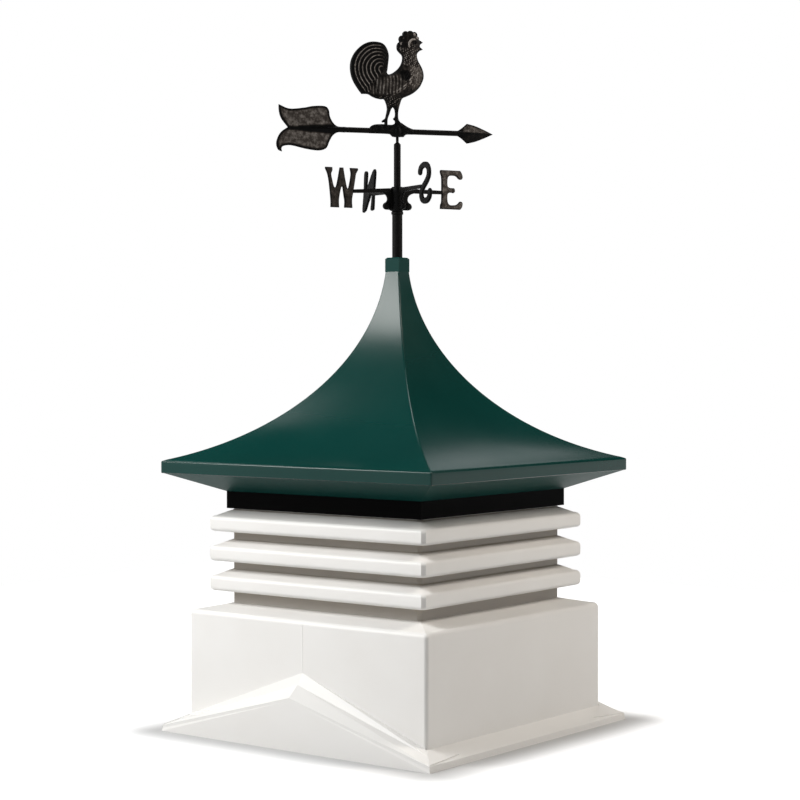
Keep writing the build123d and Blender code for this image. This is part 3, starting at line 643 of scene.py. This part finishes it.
# Hills that the forms rise to: centre, and reach across and up
BODY_HILL = ((4, 49), 27, 20)
WING_HOLLOW = ((6.5, 55), 6, 5.5)
BREAST_HILL = ((20.5, 55), 10, 19)
NECK_HILL = ((12.6, 76), 12, 26)
HEAD_HILL = ((14.4, 86.8), 9.4, 8.2)
CHEEK_HILL = ((14.5, 81.0), 5.0, 4.4)
THIGH_HILL = ((-3.6, 31), 9.5, 9.5)
BEAD_REACH = (1.7, 2.0)
# Pitch of the feather strokes on each form
SADDLE_PITCH = 3.3
FLIGHT_PITCH = 3.1
STROKE_PITCH = 1.9
HACKLE_PITCH = 2.1
SHANK_PITCH = 1.5


def ray_reach(loop, centre, angles):
    """How far the loop lies from the centre along each angle."""
    rays = np.arctan2(loop[:, 1] - centre[1], loop[:, 0] - centre[0])
    order = np.argsort(rays)
    distances = np.hypot(loop[:, 0] - centre[0], loop[:, 1] - centre[1])
    return np.interp(angles, rays[order], distances[order], period=math.tau)


def flecks_at(x, y):
    """Small scattered spots."""
    return fade(np.sin(1.9 * x + 1.4 * np.sin(1.3 * y)) * np.sin(1.6 * y + 0.7 * x), 0.15, 0.8)


def plume_form(p, d):
    """Nested curled feathers that run down under the body."""
    x, y = p[:, 0], p[:, 1]
    sweep = np.array([tuple(v) for v in smooth_run(SWEEP, 0.8)] + PLUME_UNDER)
    offset = p - np.array(PLUME_CENTRE)
    reach = ray_reach(sweep, PLUME_CENTRE, np.arctan2(offset[:, 1], offset[:, 0]))
    inward = (1 - np.hypot(offset[:, 0], offset[:, 1]) / reach).clip(0, 1)
    phase = PLUME_RINGS * inward**0.9 - 0.9
    ridge = np.where(phase > 0, crests(phase, 1, 2.2), 0)
    half = 1.5 + 1.1 * dome(d, 2.5) + 0.55 * ridge + inward
    half = half * (1 - fade(x, -29, -26) * (1 - fade(y - 0.7 * (x + 27), 44, 48)))
    wear_and_shade = 0.95 * ridge * fade(d, 0.8, 2.2) * (0.35 + 0.65 * fade(-x, 12, 20))
    return np.where((x < -8.6) & (y > 33.5), half, 0), wear_and_shade


def body_form(p, d):
    """Full breast and belly, saddle feathers hanging over the rump, and folds under the wing."""
    x, y = p[:, 0], p[:, 1]
    half = 1.4 + 5.0 * hill(p, *BODY_HILL) ** 0.9 * dome(d, 11)
    strand = crests(x + 0.10 * (y - 45) + 0.9 * np.sin(y * 0.21), SADDLE_PITCH, 1.6)
    saddle = within(x, (-29, -25), (3, 8)) * fade(y, 34.5, 37) * (1 - fade(y - 0.25 * x, 54, 58))
    saddle = saddle * (1 - fade(x - 1.4 * (y - 40), 1, 5))
    fold = np.zeros(len(p))
    for drop in WING_DROPS:
        line = [(u, v - drop) for u, v in WING_LINE]
        fold = np.maximum(fold, line_at(path_distance(p, line), 0, 0.6))
    fold = fold * (0.5 + 0.5 * fade(x, -8, 6)) * (0.6 + 0.4 * np.sin(x * 1.1 + 1))
    hollow = hill(p, *WING_HOLLOW)
    flights = crests(x - 0.75 * y, FLIGHT_PITCH, 1.8)
    flights = flights * within(x, (4, 8), (18, 22)) * within(y, (38, 42), (60, 64))
    strokes = crests(x + 0.2 * (y - 52) + 0.5 * np.sin(y * 0.4), STROKE_PITCH, 1.5)
    breast = hill(p, *BREAST_HILL) ** 0.6 * fade(d, 0.5, 2.5)
    half = half + 0.42 * strand * saddle + 0.75 * fold - 0.6 * hollow
    half = half + 0.3 * flights + 0.22 * strokes * breast
    wear_and_shade = 0.36 + 0.38 * strand * saddle + 0.55 * fold + 0.55 * flights * flecks_at(x, y) - 0.4 * hollow
    wear_and_shade = wear_and_shade + breast * (0.16 + 0.26 * strokes)
    return np.where((y > 31) & (y < 78), half, 0), wear_and_shade * fade(d, 0.4, 2.5)


def neck_form(p, d):
    """The neck and its long hackles."""
    x, y = p[:, 0], p[:, 1]
    hackles = crests(x + 0.35 * (y - 75) * fade(y, 64, 78) + 1.3 * np.sin(y * 0.35), HACKLE_PITCH, 1.4)
    on_neck = within(y, (59, 64), (81, 84)) * fade(d, 0.4, 1.6)
    half = 1.4 + 3.0 * hill(p, *NECK_HILL) * dome(d, 7.5) + 0.34 * hackles * on_neck
    wear_and_shade = 0.3 + on_neck * (0.2 * hackles + 0.45 * flecks_at(x, y))
    return np.where(y > 56, half, 0), wear_and_shade * fade(d, 0.3, 1.5)


def head_form(p, d):
    """The head with a ringed face, a lidded eye and a flecked cheek."""
    x, y = p[:, 0], p[:, 1]
    flecks = flecks_at(x, y)
    from_eye = np.hypot(x - EYE[0], y - EYE[1])
    from_face = np.hypot(x - FACE[0], y - FACE[1])
    ring = line_at(from_face, 5.5, 0.95) * (1 - fade(x, 16.5, 19.5)) * fade(y, 77.5, 80)
    lid = line_at(from_eye, 2.9, 0.7) * fade(EYE[1] - y, -0.5, 1.5) * (0.4 + 0.6 * flecks)
    socket = line_at(from_eye, 0, 2.0)
    cheek = hill(p, *CHEEK_HILL) * flecks
    half = 1.3 + 2.9 * hill(p, *HEAD_HILL) ** 1.1 * dome(d + 2, 7)
    half = half + 0.7 * ring + 0.5 * lid - 0.5 * socket + 0.5 * cheek
    return np.where(y > 77, half, 0), 0.3 + 1.1 * ring + 0.9 * lid + 0.9 * cheek - 0.7 * socket


def comb_form(p, d):
    """Comb lobes with fine radial creases, wattle and lobe."""
    x, y = p[:, 0], p[:, 1]
    crease = np.abs(np.sin(np.arctan2(y - 88, x - 11) * 8.5)) ** 0.6
    on_comb = fade(np.hypot(x - 12, y - 87), 8.6, 10) * fade(y, 78, 80)
    beads = np.zeros(len(p))
    for bead in COMB_BEADS:
        beads = np.maximum(beads, hill(p, bead, *BEAD_REACH))
    half = 1.15 + 0.8 * dome(d, 2.2) + 0.35 * crease * fade(d, 0.3, 1.2) + 0.6 * beads
    wear_and_shade = (0.9 * beads + 0.3 * crease * on_comb) * fade(d, 0.4, 1.2)
    return np.where(y > 78, half, 0), wear_and_shade


def leg_form(p, d):
    """Thighs, and shanks with ringed scales."""
    x, y = p[:, 0], p[:, 1]
    thigh = 1.6 + 2.6 * hill(p, *THIGH_HILL) * dome(d, 4)
    shank = 1.25 + 1.0 * dome(d, 2.0)
    half = np.where(y < 34, np.maximum(thigh, shank), 0)
    half = half + np.where(y < 22, 0.14 * crests(y, SHANK_PITCH, 2) * (1 - fade(y, 20, 22)), 0)
    wear_and_shade = (0.2 + 0.6 * flecks_at(x, y) * fade(y, 20, 25)) * fade(d, 0.3, 1.5)
    return half, wear_and_shade


def figure_shape(points, depth):
    """The thickest form at each place and its wear, from points and depth in metres."""
    p = points / UNIT
    d = depth / UNIT
    forms = [form(p, d) for form in (plume_form, body_form, neck_form, head_form, comb_form, leg_form)]
    halves = np.stack([half for half, wear_and_shade in forms])
    wear_and_shade = np.choose(halves.argmax(0), [wear_and_shade for half, wear_and_shade in forms])
    edge = 0.55 + 0.45 * dome(d, 0.9)
    return halves.max(0) * edge * UNIT, np.clip(wear_and_shade, 0, 1)


def make_figure():
    runs = [hundredths(FIGURE_HEIGHT, run) for run in FIGURE_RUNS]
    nodes = ("rooster_body", "rooster_plume", "rooster_head", "rooster_legs")
    add_relief("rooster", nodes, runs, FIGURE_STEP, figure_shape)


# Arrow, in millimetres from the axis

TAIL_ROOT = 124.0
TAIL_LENGTH = 132.0
TAIL_RUNS = [
    [(9, 4.2), (-2, 4.4), (-9.5, 9.5), (-15.2, 19.3), (-17.2, 30), (-24, 35.6), (-42, 35.2),
     (-58, 32), (-80, 30), (-97, 36)],
    [(-97, 36), (-96.6, 26), (-93, 14.5), (-82.6, 1.1)],
    [(-82.6, 1.1), (-92, -5.5), (-98, -14), (-100.8, -25), (-97.8, -34.2), (-91.7, -36.9)],
    [(-91.7, -36.9), (-92.6, -32), (-90, -28.6), (-82, -26.9), (-73, -27.6), (-53, -31.8),
     (-33.3, -33.7), (-21.4, -29.8), (-16, -18.6), (-10.5, -9.5), (-2, -4.4), (9, -4.2)],
    [(9, -4.2), (9, 4.2)],
]
HEAD_RUNS = [
    [(122, -4.6), (131, -5.6), (140, -11), (151.5, -20.8)],
    [(151.5, -20.8), (170, -16.4), (190, -8.6), (208.8, 0)],
    [(208.8, 0), (190, 8.6), (170, 16.4), (151.5, 20.8)],
    [(151.5, 20.8), (140, 11), (131, 5.6), (122, 4.6)],
    [(122, 4.6), (122, -4.6)],
]
MOUND_RUNS = [
    [(-60, 5.2), (-57, 9), (-51, 12.2), (-42, 13.6), (-31, 14), (-20, 13.2), (-10, 13.8),
     (-3, 18), (3, 18.8), (8, 18.2), (14, 14.4), (19, 11.4), (26, 8), (34, 5.2)],
    [(34, 5.2), (36, 0), (34, -5.6)],
    [(34, -5.6), (22, -5.8), (17, -7.4), (13.4, -11.4)],
    [(13.4, -11.4), (-10.4, -11.4)],
    [(-10.4, -11.4), (-14, -8), (-20, -5.8), (-60, -5.6)],
    [(-60, -5.6), (-62, 0), (-60, 5.2)],
]
# Radius and height of the boss that turns on the pivot
BOSS_PROFILE = [(0.1, -11.4), (8.2, -11.4), (9.2, -10.4), (9.2, 4), (7.5, 8), (0.1, 8)]

# From here on in metres
TAIL_STEP = 0.002
HEAD_STEP = 0.0015
MOUND_STEP = 0.0013
SHAFT_RADIUS = 0.0056
SPINE_RADIUS = SHAFT_RADIUS + 0.001
SPIKE_LENGTH = 0.088
SPIKE_TIP = 0.0015
PLATE_HALF = 0.0012
DENT_DEPTH = 0.00025
LUMP_HEIGHT = 0.0007


def round_half(y, radius):
    """Half thickness of a round bar of this radius along the middle line."""
    return np.sqrt(np.clip(radius**2 - y**2, 0, None))


def tail_shape(points, depth):
    """A thin dented plate with a rolled edge on a tapered round spine."""
    x, y = points[:, 0], points[:, 1]
    root = -TAIL_ROOT * MM
    along = np.clip(x - root, -SPIKE_LENGTH, 0) / -SPIKE_LENGTH
    radius = SPINE_RADIUS * (1 - along) + SPIKE_TIP * along
    radius = np.where(x < root - SPIKE_LENGTH, 0, radius)
    dents = DENT_DEPTH * np.sin(x * 310) * np.sin(y * 270 + 1)
    plate = PLATE_HALF + 0.0012 * dome(depth, 0.004) + dents * fade(depth, 0.002, 0.006)
    wear_and_shade = 0.63 * fade(depth, 0.001, 0.006) * fade(np.abs(y) - radius, 0.0, 0.006)
    return np.maximum(plate, round_half(y, radius)), wear_and_shade


def head_shape(points, depth):
    """A leaf with a raised middle and flat cheeks."""
    x, y = points[:, 0], points[:, 1]
    cheek = fade(x, 0.136, 0.146)
    half = PLATE_HALF + 0.36 * depth * cheek
    shaft = round_half(y, SHAFT_RADIUS) * (1 - fade(x, 0.14, 0.2))
    wear_and_shade = (0.3 + 0.28 * fade(y, 0.0005, 0.003)) * cheek
    return np.maximum(half, shaft), wear_and_shade * fade(depth, 0.001, 0.003) * fade(np.abs(y), 0.0, 0.003)


def mound_shape(points, depth):
    """Rough ground under the feet, thick where the shafts and the boss run into it."""
    x, y = points[:, 0], points[:, 1]
    lumps = np.sin(x * 420 + 1.3 * np.sin(y * 500)) * np.sin(y * 520 + x * 90)
    half = 0.0022 + 0.0048 * dome(depth, 0.0075) + LUMP_HEIGHT * lumps * fade(depth, 0.001, 0.004)
    wear_and_shade = 0.22 * fade(lumps, 0.1, 0.9) * fade(depth, 0.001, 0.003)
    return np.maximum(half, round_half(y, SHAFT_RADIUS) * 0.9), wear_and_shade


def joined(*solids):
    """Several vertex and face lists as one."""
    vertices, faces = [], []
    for some_vertices, some_faces in solids:
        start = len(vertices)
        vertices.extend(tuple(v) for v in some_vertices)
        faces.extend(tuple(start + n for n in face) for face in some_faces)
    return vertices, faces


def millimetres(runs, scale=1.0, shift=0.0):
    return [[((shift + x * scale) * MM, y * scale * MM) for x, y in run] for run in runs]


def raised(profile, height):
    """A turned solid from a profile in millimetres, lifted to a height in metres."""
    vertices, faces = lathe([(radius * MM, level * MM) for radius, level in profile])
    return [(x, y, z + height) for x, y, z in vertices], faces


def make_arrow():
    tail = millimetres(TAIL_RUNS, TAIL_LENGTH / 100, -TAIL_ROOT)
    add_relief("tail_plate", ("arrow_tail",), tail, TAIL_STEP, tail_shape)
    add_relief("arrow_leaf", ("arrow_head",), millimetres(HEAD_RUNS), HEAD_STEP, head_shape)
    *mound, wear = relief(millimetres(MOUND_RUNS), MOUND_STEP, mound_shape, VANE_TURN, ARROW_HEIGHT)
    boss = raised(BOSS_PROFILE, ARROW_HEIGHT)
    vertices, faces = joined(mound, boss)
    wear_and_shade = np.concatenate([wear, np.zeros(len(boss[0]))])
    add_piece("hub_mound", vertices, faces, "black_metal", "vane", ("vane_hub",), CASTING_CREASE, wear_and_shade)


# Compass

COMPASS_TURN = 64.3
ARM_HEIGHT = 1.1135
LETTER_HEIGHT = 82.0
LETTER_RISE = 6.5
NORTH = [
    [(0, 0), (14, 0), (13, 24), (13.4, 52), (48, 0)],
    [(48, 0), (63, 0), (62, 50), (63, 100), (49, 100), (50, 60), (49.6, 48)],
    [(49.6, 48), (15, 100), (0, 100), (1, 50), (0, 0)],
]
EAST = [
    [(2, 0), (60, 0)],
    [(60, 0), (65, 6), (67, 14), (66, 18.6), (62.5, 20.8), (58.6, 20.4), (54, 15.6), (48, 12),
     (38, 10.6), (30, 11), (25, 15), (22.8, 22), (22.5, 34), (24, 40), (29, 42.6), (36, 43),
     (40, 42), (44, 45), (44.4, 50), (42, 54.4), (37, 54.6), (30, 55), (24.4, 57.6), (22.5, 64),
     (22.8, 76), (25, 83), (31, 86.4), (44, 86.6), (50, 84), (54.6, 79.6), (59, 77.4),
     (63.5, 77.6), (66.4, 80.6), (67, 86), (64, 94), (60, 100)],
    [(60, 100), (4, 100)],
    [(4, 100), (1.7, 97), (3, 90), (5.6, 80), (6, 50), (5.6, 20), (2.6, 10), (2, 0)],
]
WEST = [
    [(16.5, 0), (39.4, 0)],
    [(39.4, 0), (38.8, 18), (41.4, 36), (45.4, 52)],
    [(45.4, 52), (49.4, 52)],
    [(49.4, 52), (52.4, 31), (54.7, 16), (54, 0)],
    [(54, 0), (76, 0)],
    [(76, 0), (75, 20), (78, 37.5), (80.4, 52), (83.6, 70.7), (86, 85), (91.6, 95.4), (91, 100)],
    [(91, 100), (69.4, 100)],
    [(69.4, 100), (71.8, 86), (70, 70), (65.6, 50.4), (63.4, 48), (61, 50.4), (57.2, 66),
     (53.4, 86), (51, 100)],
    [(51, 100), (41.5, 100)],
    [(41.5, 100), (39.6, 90), (36, 71), (32, 54), (28.6, 49.6), (25, 52), (20.4, 68), (17.6, 83),
     (20.8, 92), (20.5, 100)],
    [(20.5, 100), (2, 100)],
    [(2, 100), (1.8, 96), (7, 84.7), (10.2, 72), (12.8, 55), (15.4, 30), (16.6, 16), (16.5, 0)],
]
SOUTH_SPINE = [
    (57, 74), (57.5, 80), (53, 88), (43, 92.8), (34, 94), (24, 92.6), (15.5, 87), (11, 77),
    (12, 67), (17.6, 58.6), (26, 51), (36, 43.6), (44.6, 36), (50, 27), (51, 19), (46.6, 10.4),
    (38, 6), (30, 5), (19, 6.4), (10.6, 11.8), (6.4, 19), (6, 30),
]
SOUTH_STROKE = 15.0
# How far the rounded ends stand out from the spine, in stroke widths
CAP_SHARE = 0.3
LETTER_STEP = 0.0013
SCROLL_STEP = 0.0016


def ribbon(spine, width):
    """Runs round a band of even width along a curved line."""
    line = np.array(smooth_run(spine, 2.0))
    run = np.gradient(line, axis=0)
    run /= np.linalg.norm(run, axis=1)[:, None]
    normal = np.stack([-run[:, 1], run[:, 0]], axis=1) * width / 2
    left = line + normal
    right = (line - normal)[::-1]
    start_cap = line[0] - run[0] * width * CAP_SHARE
    end_cap = line[-1] + run[-1] * width * CAP_SHARE
    return [[*left], [left[-1], end_cap, right[0]], [*right], [right[-1], start_cap, left[0]]]


# Name, quarter from east, reach to the near edge, lift and twist of the arm's tip, wear and outline
LETTERS = [
    ("east", 0, 99.0, 0.0, 0.0, 0.62, EAST),
    ("north", 1, 108.0, 2.3, 3.2, 0.1, NORTH),
    ("west", 2, 91.0, -5.3, 0.0, 0.5, WEST),
    ("south", 3, 98.0, 0.0, 0.0, 0.0, ribbon(SOUTH_SPINE, SOUTH_STROKE)),
]


def letter_shape(wear):
    """The shape of a flat letter with rounded edges and this much wear."""

    def shape(points, depth):
        half = 0.0016 + 0.0014 * dome(depth, 0.0018)
        return half, wear * fade(depth, 0.0003, 0.0018)

    return shape


def make_letters():
    scale = LETTER_HEIGHT / 100
    foot = LETTER_RISE - LETTER_HEIGHT / 2
    for name, quarter, reach, lift, twist, wear, runs in LETTERS:
        widest = max(x for run in runs for x, y in run) * scale
        inward = quarter > 1
        start = -reach - widest if inward else reach
        placed = [[((start + x * scale) * MM, (foot + y * scale) * MM) for x, y in run] for run in runs]
        turn = COMPASS_TURN + 90 * quarter + (180 if inward else 0)
        vertices, faces, wear_and_shade = relief(placed, LETTER_STEP, letter_shape(wear), turn, 0.0)
        lifted = Matrix.Translation((0, 0, ARM_HEIGHT + lift * MM))
        place = lifted @ Matrix.Rotation(math.radians(twist), 4, direction(turn + 90))
        vertices = [place @ Vector(v) for v in vertices]
        nodes = (f"{name}_letter",)
        add_piece(f"{name}_sign", vertices, faces, "black_metal", "cupola", nodes, CASTING_CREASE, wear_and_shade)


SCROLL_RUNS = [
    [(9, -2), (9, -40.5)],
    [(9, -40.5), (25.5, -40.5)],
    [(25.5, -40.5), (31, -38.2), (33.2, -33), (31.2, -27.9), (27, -25.2)],
    [(27, -25.2), (24.4, -22.4), (23.4, -17.6), (25.4, -12), (30.4, -7.6), (38, -4.6)],
    [(38, -4.6), (38, -2)],
    [(38, -2), (9, -2)],
]
# Radius and height of the hub that the scrolls stand on
HUB_PROFILE = [
    (7.4, -43.5), (11.2, -43.5), (12, -42.6), (12, -8), (12.8, -6.5), (12.8, 5.5), (11, 7.5),
    (7.4, 7.5),
]
SCROLL_BALL = (0.0255, -0.033)
BALL_RADIUS = 0.0075
BALL_HEIGHT = 0.0022


def scroll_shape(points, depth):
    """A flat scroll that ends in a ball."""
    half = 0.0018 + 0.0016 * dome(depth, 0.003)
    ball = BALL_RADIUS - np.hypot(points[:, 0] - SCROLL_BALL[0], points[:, 1] - SCROLL_BALL[1])
    half = half + BALL_HEIGHT * dome(np.clip(ball, 0, None), 0.006)
    return half, 0.12 * fade(depth, 0.0005, 0.002)


def make_compass_hub():
    solids = [raised(HUB_PROFILE, ARM_HEIGHT)]
    wear = [np.zeros(len(solids[0][0]))]
    for quarter in range(4):
        turn = COMPASS_TURN + 90 * quarter
        *scroll, wear_and_shade = relief(millimetres(SCROLL_RUNS), SCROLL_STEP, scroll_shape, turn, ARM_HEIGHT)
        solids.append(scroll)
        wear.append(wear_and_shade)
    vertices, faces = joined(*solids)
    nodes = ("compass_hub",)
    wear_and_shade = np.concatenate(wear)
    add_piece("compass_boss", vertices, faces, "black_metal", "cupola", nodes, CASTING_CREASE, wear_and_shade)


# Roof

ROOF_HALF = 346.0
PEAK_HALF = 18.0
FASCIA_FOOT = 529.0
FASCIA_TOP = 554.5
PEAK_HEIGHT = 944.0
SWEEP_RADIUS = 448.0
ROOF_WALL = 4.0
FASCIA_ROUND = 3.0
FASCIA_BEVEL = 1.2
HIP_ROUND = 2.4
CORNER_STEPS = 4
OUTER_ROWS = 64
INNER_ROWS = 40
# Steps of the fascia's rounded top edge, as how far in and the share of the rounding below the
# top, and the row under them that keeps the fascia's face flat
FASCIA_STEPS = [(0, 1), (0.35, 0.55), (1.2, 0.2)]
FASCIA_ROW = 8.0
ROOF_COLUMNS = [-1, -0.985, -0.9, -0.6, -0.3, 0, 0.3, 0.6, 0.9, 0.985, 1]


def sweep_points(wall, count):
    """The roof's concave profile from the eave to the peak, as half width and height."""
    foot = np.array((ROOF_HALF - wall, FASCIA_TOP - wall))
    peak = np.array((PEAK_HALF - wall, PEAK_HEIGHT - wall))
    chord = peak - foot
    length = np.linalg.norm(chord)
    rise = math.sqrt(SWEEP_RADIUS**2 - (length / 2) ** 2)
    normal = np.array((chord[1], -chord[0])) / length
    centre = (foot + peak) / 2 + rise * normal
    first = math.atan2(foot[1] - centre[1], foot[0] - centre[0])
    last = math.atan2(peak[1] - centre[1], peak[0] - centre[0])
    return [
        (centre[0] + SWEEP_RADIUS * math.cos(a), centre[1] + SWEEP_RADIUS * math.sin(a))
        for a in np.linspace(first, last, count)
    ]


def square_ring(half, height, corner, columns, steps):
    """Points round a square whose corners are rounded in so many steps; one step makes a bevel."""
    straight = half - corner
    side = [(half, straight * share) for share in columns]
    for step in range(1, steps):
        angle = math.radians(90 * step / steps)
        side.append((straight + corner * math.cos(angle), straight + corner * math.sin(angle)))
    ring = []
    for quarter in range(4):
        turn = Matrix.Rotation(math.radians(90 * quarter), 3, "Z")
        ring += [tuple((turn @ Vector((x, y, height))) * MM) for x, y in side]
    return ring


def square_loft(profile, corner, columns, steps):
    """A closed skin through square rings, given as half width and height, its ends joined."""
    rings = [square_ring(half, height, corner, columns, steps) for half, height in profile]
    vertices = [point for ring in rings for point in ring]
    return vertices, ring_faces(len(rings), len(rings[0]), closed=True)


def make_roof():
    fascia = [
        (ROOF_HALF - ROOF_WALL, FASCIA_FOOT),
        (ROOF_HALF - FASCIA_BEVEL, FASCIA_FOOT),
        (ROOF_HALF, FASCIA_FOOT + FASCIA_BEVEL),
        (ROOF_HALF, FASCIA_TOP - FASCIA_ROUND - FASCIA_ROW),
    ]
    for inward, share in FASCIA_STEPS:
        fascia.append((ROOF_HALF - inward, FASCIA_TOP - FASCIA_ROUND * share))
    profile = fascia + sweep_points(0, OUTER_ROWS)[1:] + sweep_points(ROOF_WALL, INNER_ROWS)[::-1]
    vertices, faces = square_loft(profile, HIP_ROUND, ROOF_COLUMNS, CORNER_STEPS)
    add_piece("roof_skin", vertices, faces, "green_roof", "cupola", ("roof_shell",))


# Louvres

LEDGE_HEIGHT = 261.0
LOUVRE_FEET = [284.0, 345.0, 406.0]
NECK_TOP = 456.0
NECK_HALF = 243.0
LOUVRE_HALF = 278.0
LOUVRE_RISE = 47.0
NOSE_FOOT = 3.0
NOSE_TOP = 35.0
NOSE_ROUND = 9.0
NOSE_BEVEL = 6.5
NOSE_STEPS = 6
LOUVRE_WALL = 4.0
SHAFT_HALF = 227.0
LOUVRE_COLUMNS = [-1, -0.5, 0, 0.5, 1]
LOUVRE_CREASE = 32.0
# Rows where the neck meets a louvre's underside and its sloping top: how far out from the neck,
# how far above that face, and painted shade
UNDER_ROWS = [(0, -0.6, 1), (0.6, 0, 1)]
TOP_ROWS = [(5, -1.6, 0.1), (1.5, -0.4, 0.7), (0, 0.8, 0.8)]
# The row before the nose: how far in from its rounding and below it, and painted shade
NOSE_ROW = (4, 0.3, 0.9)
# Painted shade where the ledge meets the neck
LEDGE_PAINTED_SHADE = 0.7


def louvre_profile(inset):
    """Neck and louvres from the ledge up, as half width, height and painted shade, moved in by the
    inset.
    """
    neck = NECK_HALF - inset
    radius = NOSE_ROUND - inset * 0.5
    centre = LOUVRE_HALF - inset - radius
    points = [(neck, LEDGE_HEIGHT, LEDGE_PAINTED_SHADE)]
    for foot in LOUVRE_FEET:
        under = foot + inset
        low = foot + NOSE_FOOT + inset
        high = foot + NOSE_TOP - inset
        top = foot + LOUVRE_RISE - inset
        points += [(neck + out, under + rise, painted_shade) for out, rise, painted_shade in UNDER_ROWS]
        points.append((centre - NOSE_ROW[0], low - NOSE_ROW[1], NOSE_ROW[2]))
        for middle, start in ((low + radius, -90), (high - radius, 0)):
            for step in range(NOSE_STEPS + 1):
                angle = math.radians(start + 90 * step / NOSE_STEPS)
                points.append((centre + radius * math.cos(angle), middle + radius * math.sin(angle), 0))
        points += [(neck + out, top + rise, painted_shade) for out, rise, painted_shade in TOP_ROWS]
    return points


def make_louvres():
    under = NECK_TOP - LOUVRE_WALL
    lid = [
        (NECK_HALF, NECK_TOP, 0),
        (SHAFT_HALF, NECK_TOP, 0),
        (SHAFT_HALF, under, 0),
        (NECK_HALF - LOUVRE_WALL, under, 0),
    ]
    profile = louvre_profile(0) + lid + louvre_profile(LOUVRE_WALL)[::-1]
    outline = [(half, height) for half, height, painted_shade in profile]
    vertices, faces = square_loft(outline, NOSE_BEVEL, LOUVRE_COLUMNS, 1)
    per_ring = len(vertices) // len(profile)
    # Painted shade under the louvres and in the corners where they meet the neck and ledge, as a vertex
    # attribute.
    wear_and_shade = [painted_shade for half, height, painted_shade in profile for n in range(per_ring)]
    nodes = ("louvre_left_half", "louvre_right_half")
    add_piece("louvre_skin", vertices, faces, "white", "cupola", nodes, LOUVRE_CREASE, wear_and_shade)


# Trim of the base

WALL_FACE = 305.0
SEAM_FOOT = 147.0
SEAM_TOP = 240.0
SEAM_HALF = 2.2
SEAM_PROUD = 0.5
SEAM_ROOT = 1.0
SEAM_ROWS = 9
SEAM_POINTS = 9
EAVE_FOOT = 32.0
GABLE_REACH = 42.0
EAVE_REACH = 38.0
CREASE_SHARE = 0.34
CREASE_HEIGHT = EAVE_FOOT - 7.5
RIM_SHARE = 0.93
RIM_HEIGHT = EAVE_FOOT - 19.0
LAP_LENGTH = 66.0
LAP_LIFT = 1.2
LAP_ROOT = 1.0
LAP_CREASE = 12.0
# Corners of a lap: shares of the reach past the eave wall and past the gable wall, share of its
# length back along the eave, and height
LAP_CORNERS = [
    (0, 0, 0, EAVE_FOOT),
    (CREASE_SHARE, CREASE_SHARE, 0, CREASE_HEIGHT),
    (RIM_SHARE, RIM_SHARE, 0, RIM_HEIGHT),
    (0.72, 0, 1, EAVE_FOOT - 14.7),
    (CREASE_SHARE, 0, 0.45, CREASE_HEIGHT),
]
ENDS = (("front", -1), ("back", 1))
SIDES = (("left", -1), ("right", 1))


def make_seam_beads():
    """The moulding bead that stands proud along the joint of the two base halves."""
    for name, end in ENDS:
        vertices = []
        for height in np.linspace(SEAM_FOOT, SEAM_TOP, SEAM_ROWS):
            for step in range(SEAM_POINTS):
                angle = math.pi * step / (SEAM_POINTS - 1)
                out = WALL_FACE - SEAM_ROOT + (SEAM_PROUD + SEAM_ROOT) * math.sin(angle)
                vertices.append((SEAM_HALF * math.cos(angle) * MM, end * out * MM, height * MM))
        faces = ring_faces(SEAM_ROWS, SEAM_POINTS)
        faces += [tuple(range(SEAM_POINTS)), tuple(range(len(vertices) - SEAM_POINTS, len(vertices)))]
        add_piece(f"{name}_seam_bead", vertices, faces, "white", "cupola")


def make_corner_laps():
    """The tab of each gable skirt that folds round the corner and lies on the eave skirt."""
    size = len(LAP_CORNERS)
    faces = [tuple(range(size)), tuple(range(size, 2 * size)), *ring_faces(2, size)]
    for end_name, end in ENDS:
        for side_name, side in SIDES:
            name = f"{end_name}_lap_{side_name}"
            vertices = []
            for lift in (LAP_LIFT, -LAP_ROOT):
                for out, past, back, height in LAP_CORNERS:
                    x = side * (WALL_FACE + out * EAVE_REACH)
                    y = end * (WALL_FACE + past * GABLE_REACH - back * LAP_LENGTH)
                    vertices.append((x * MM, y * MM, (height + lift) * MM))
            add_piece(name, vertices, faces, "white", "cupola", crease=LAP_CREASE)


bpy.context.scene.view_settings.view_transform = "Standard"
make_camera()
make_lights()
make_world()
make_floor()
dress_cad()
make_figure()
make_arrow()
make_letters()
make_compass_hub()
make_roof()
make_louvres()
make_seam_beads()
make_corner_laps()
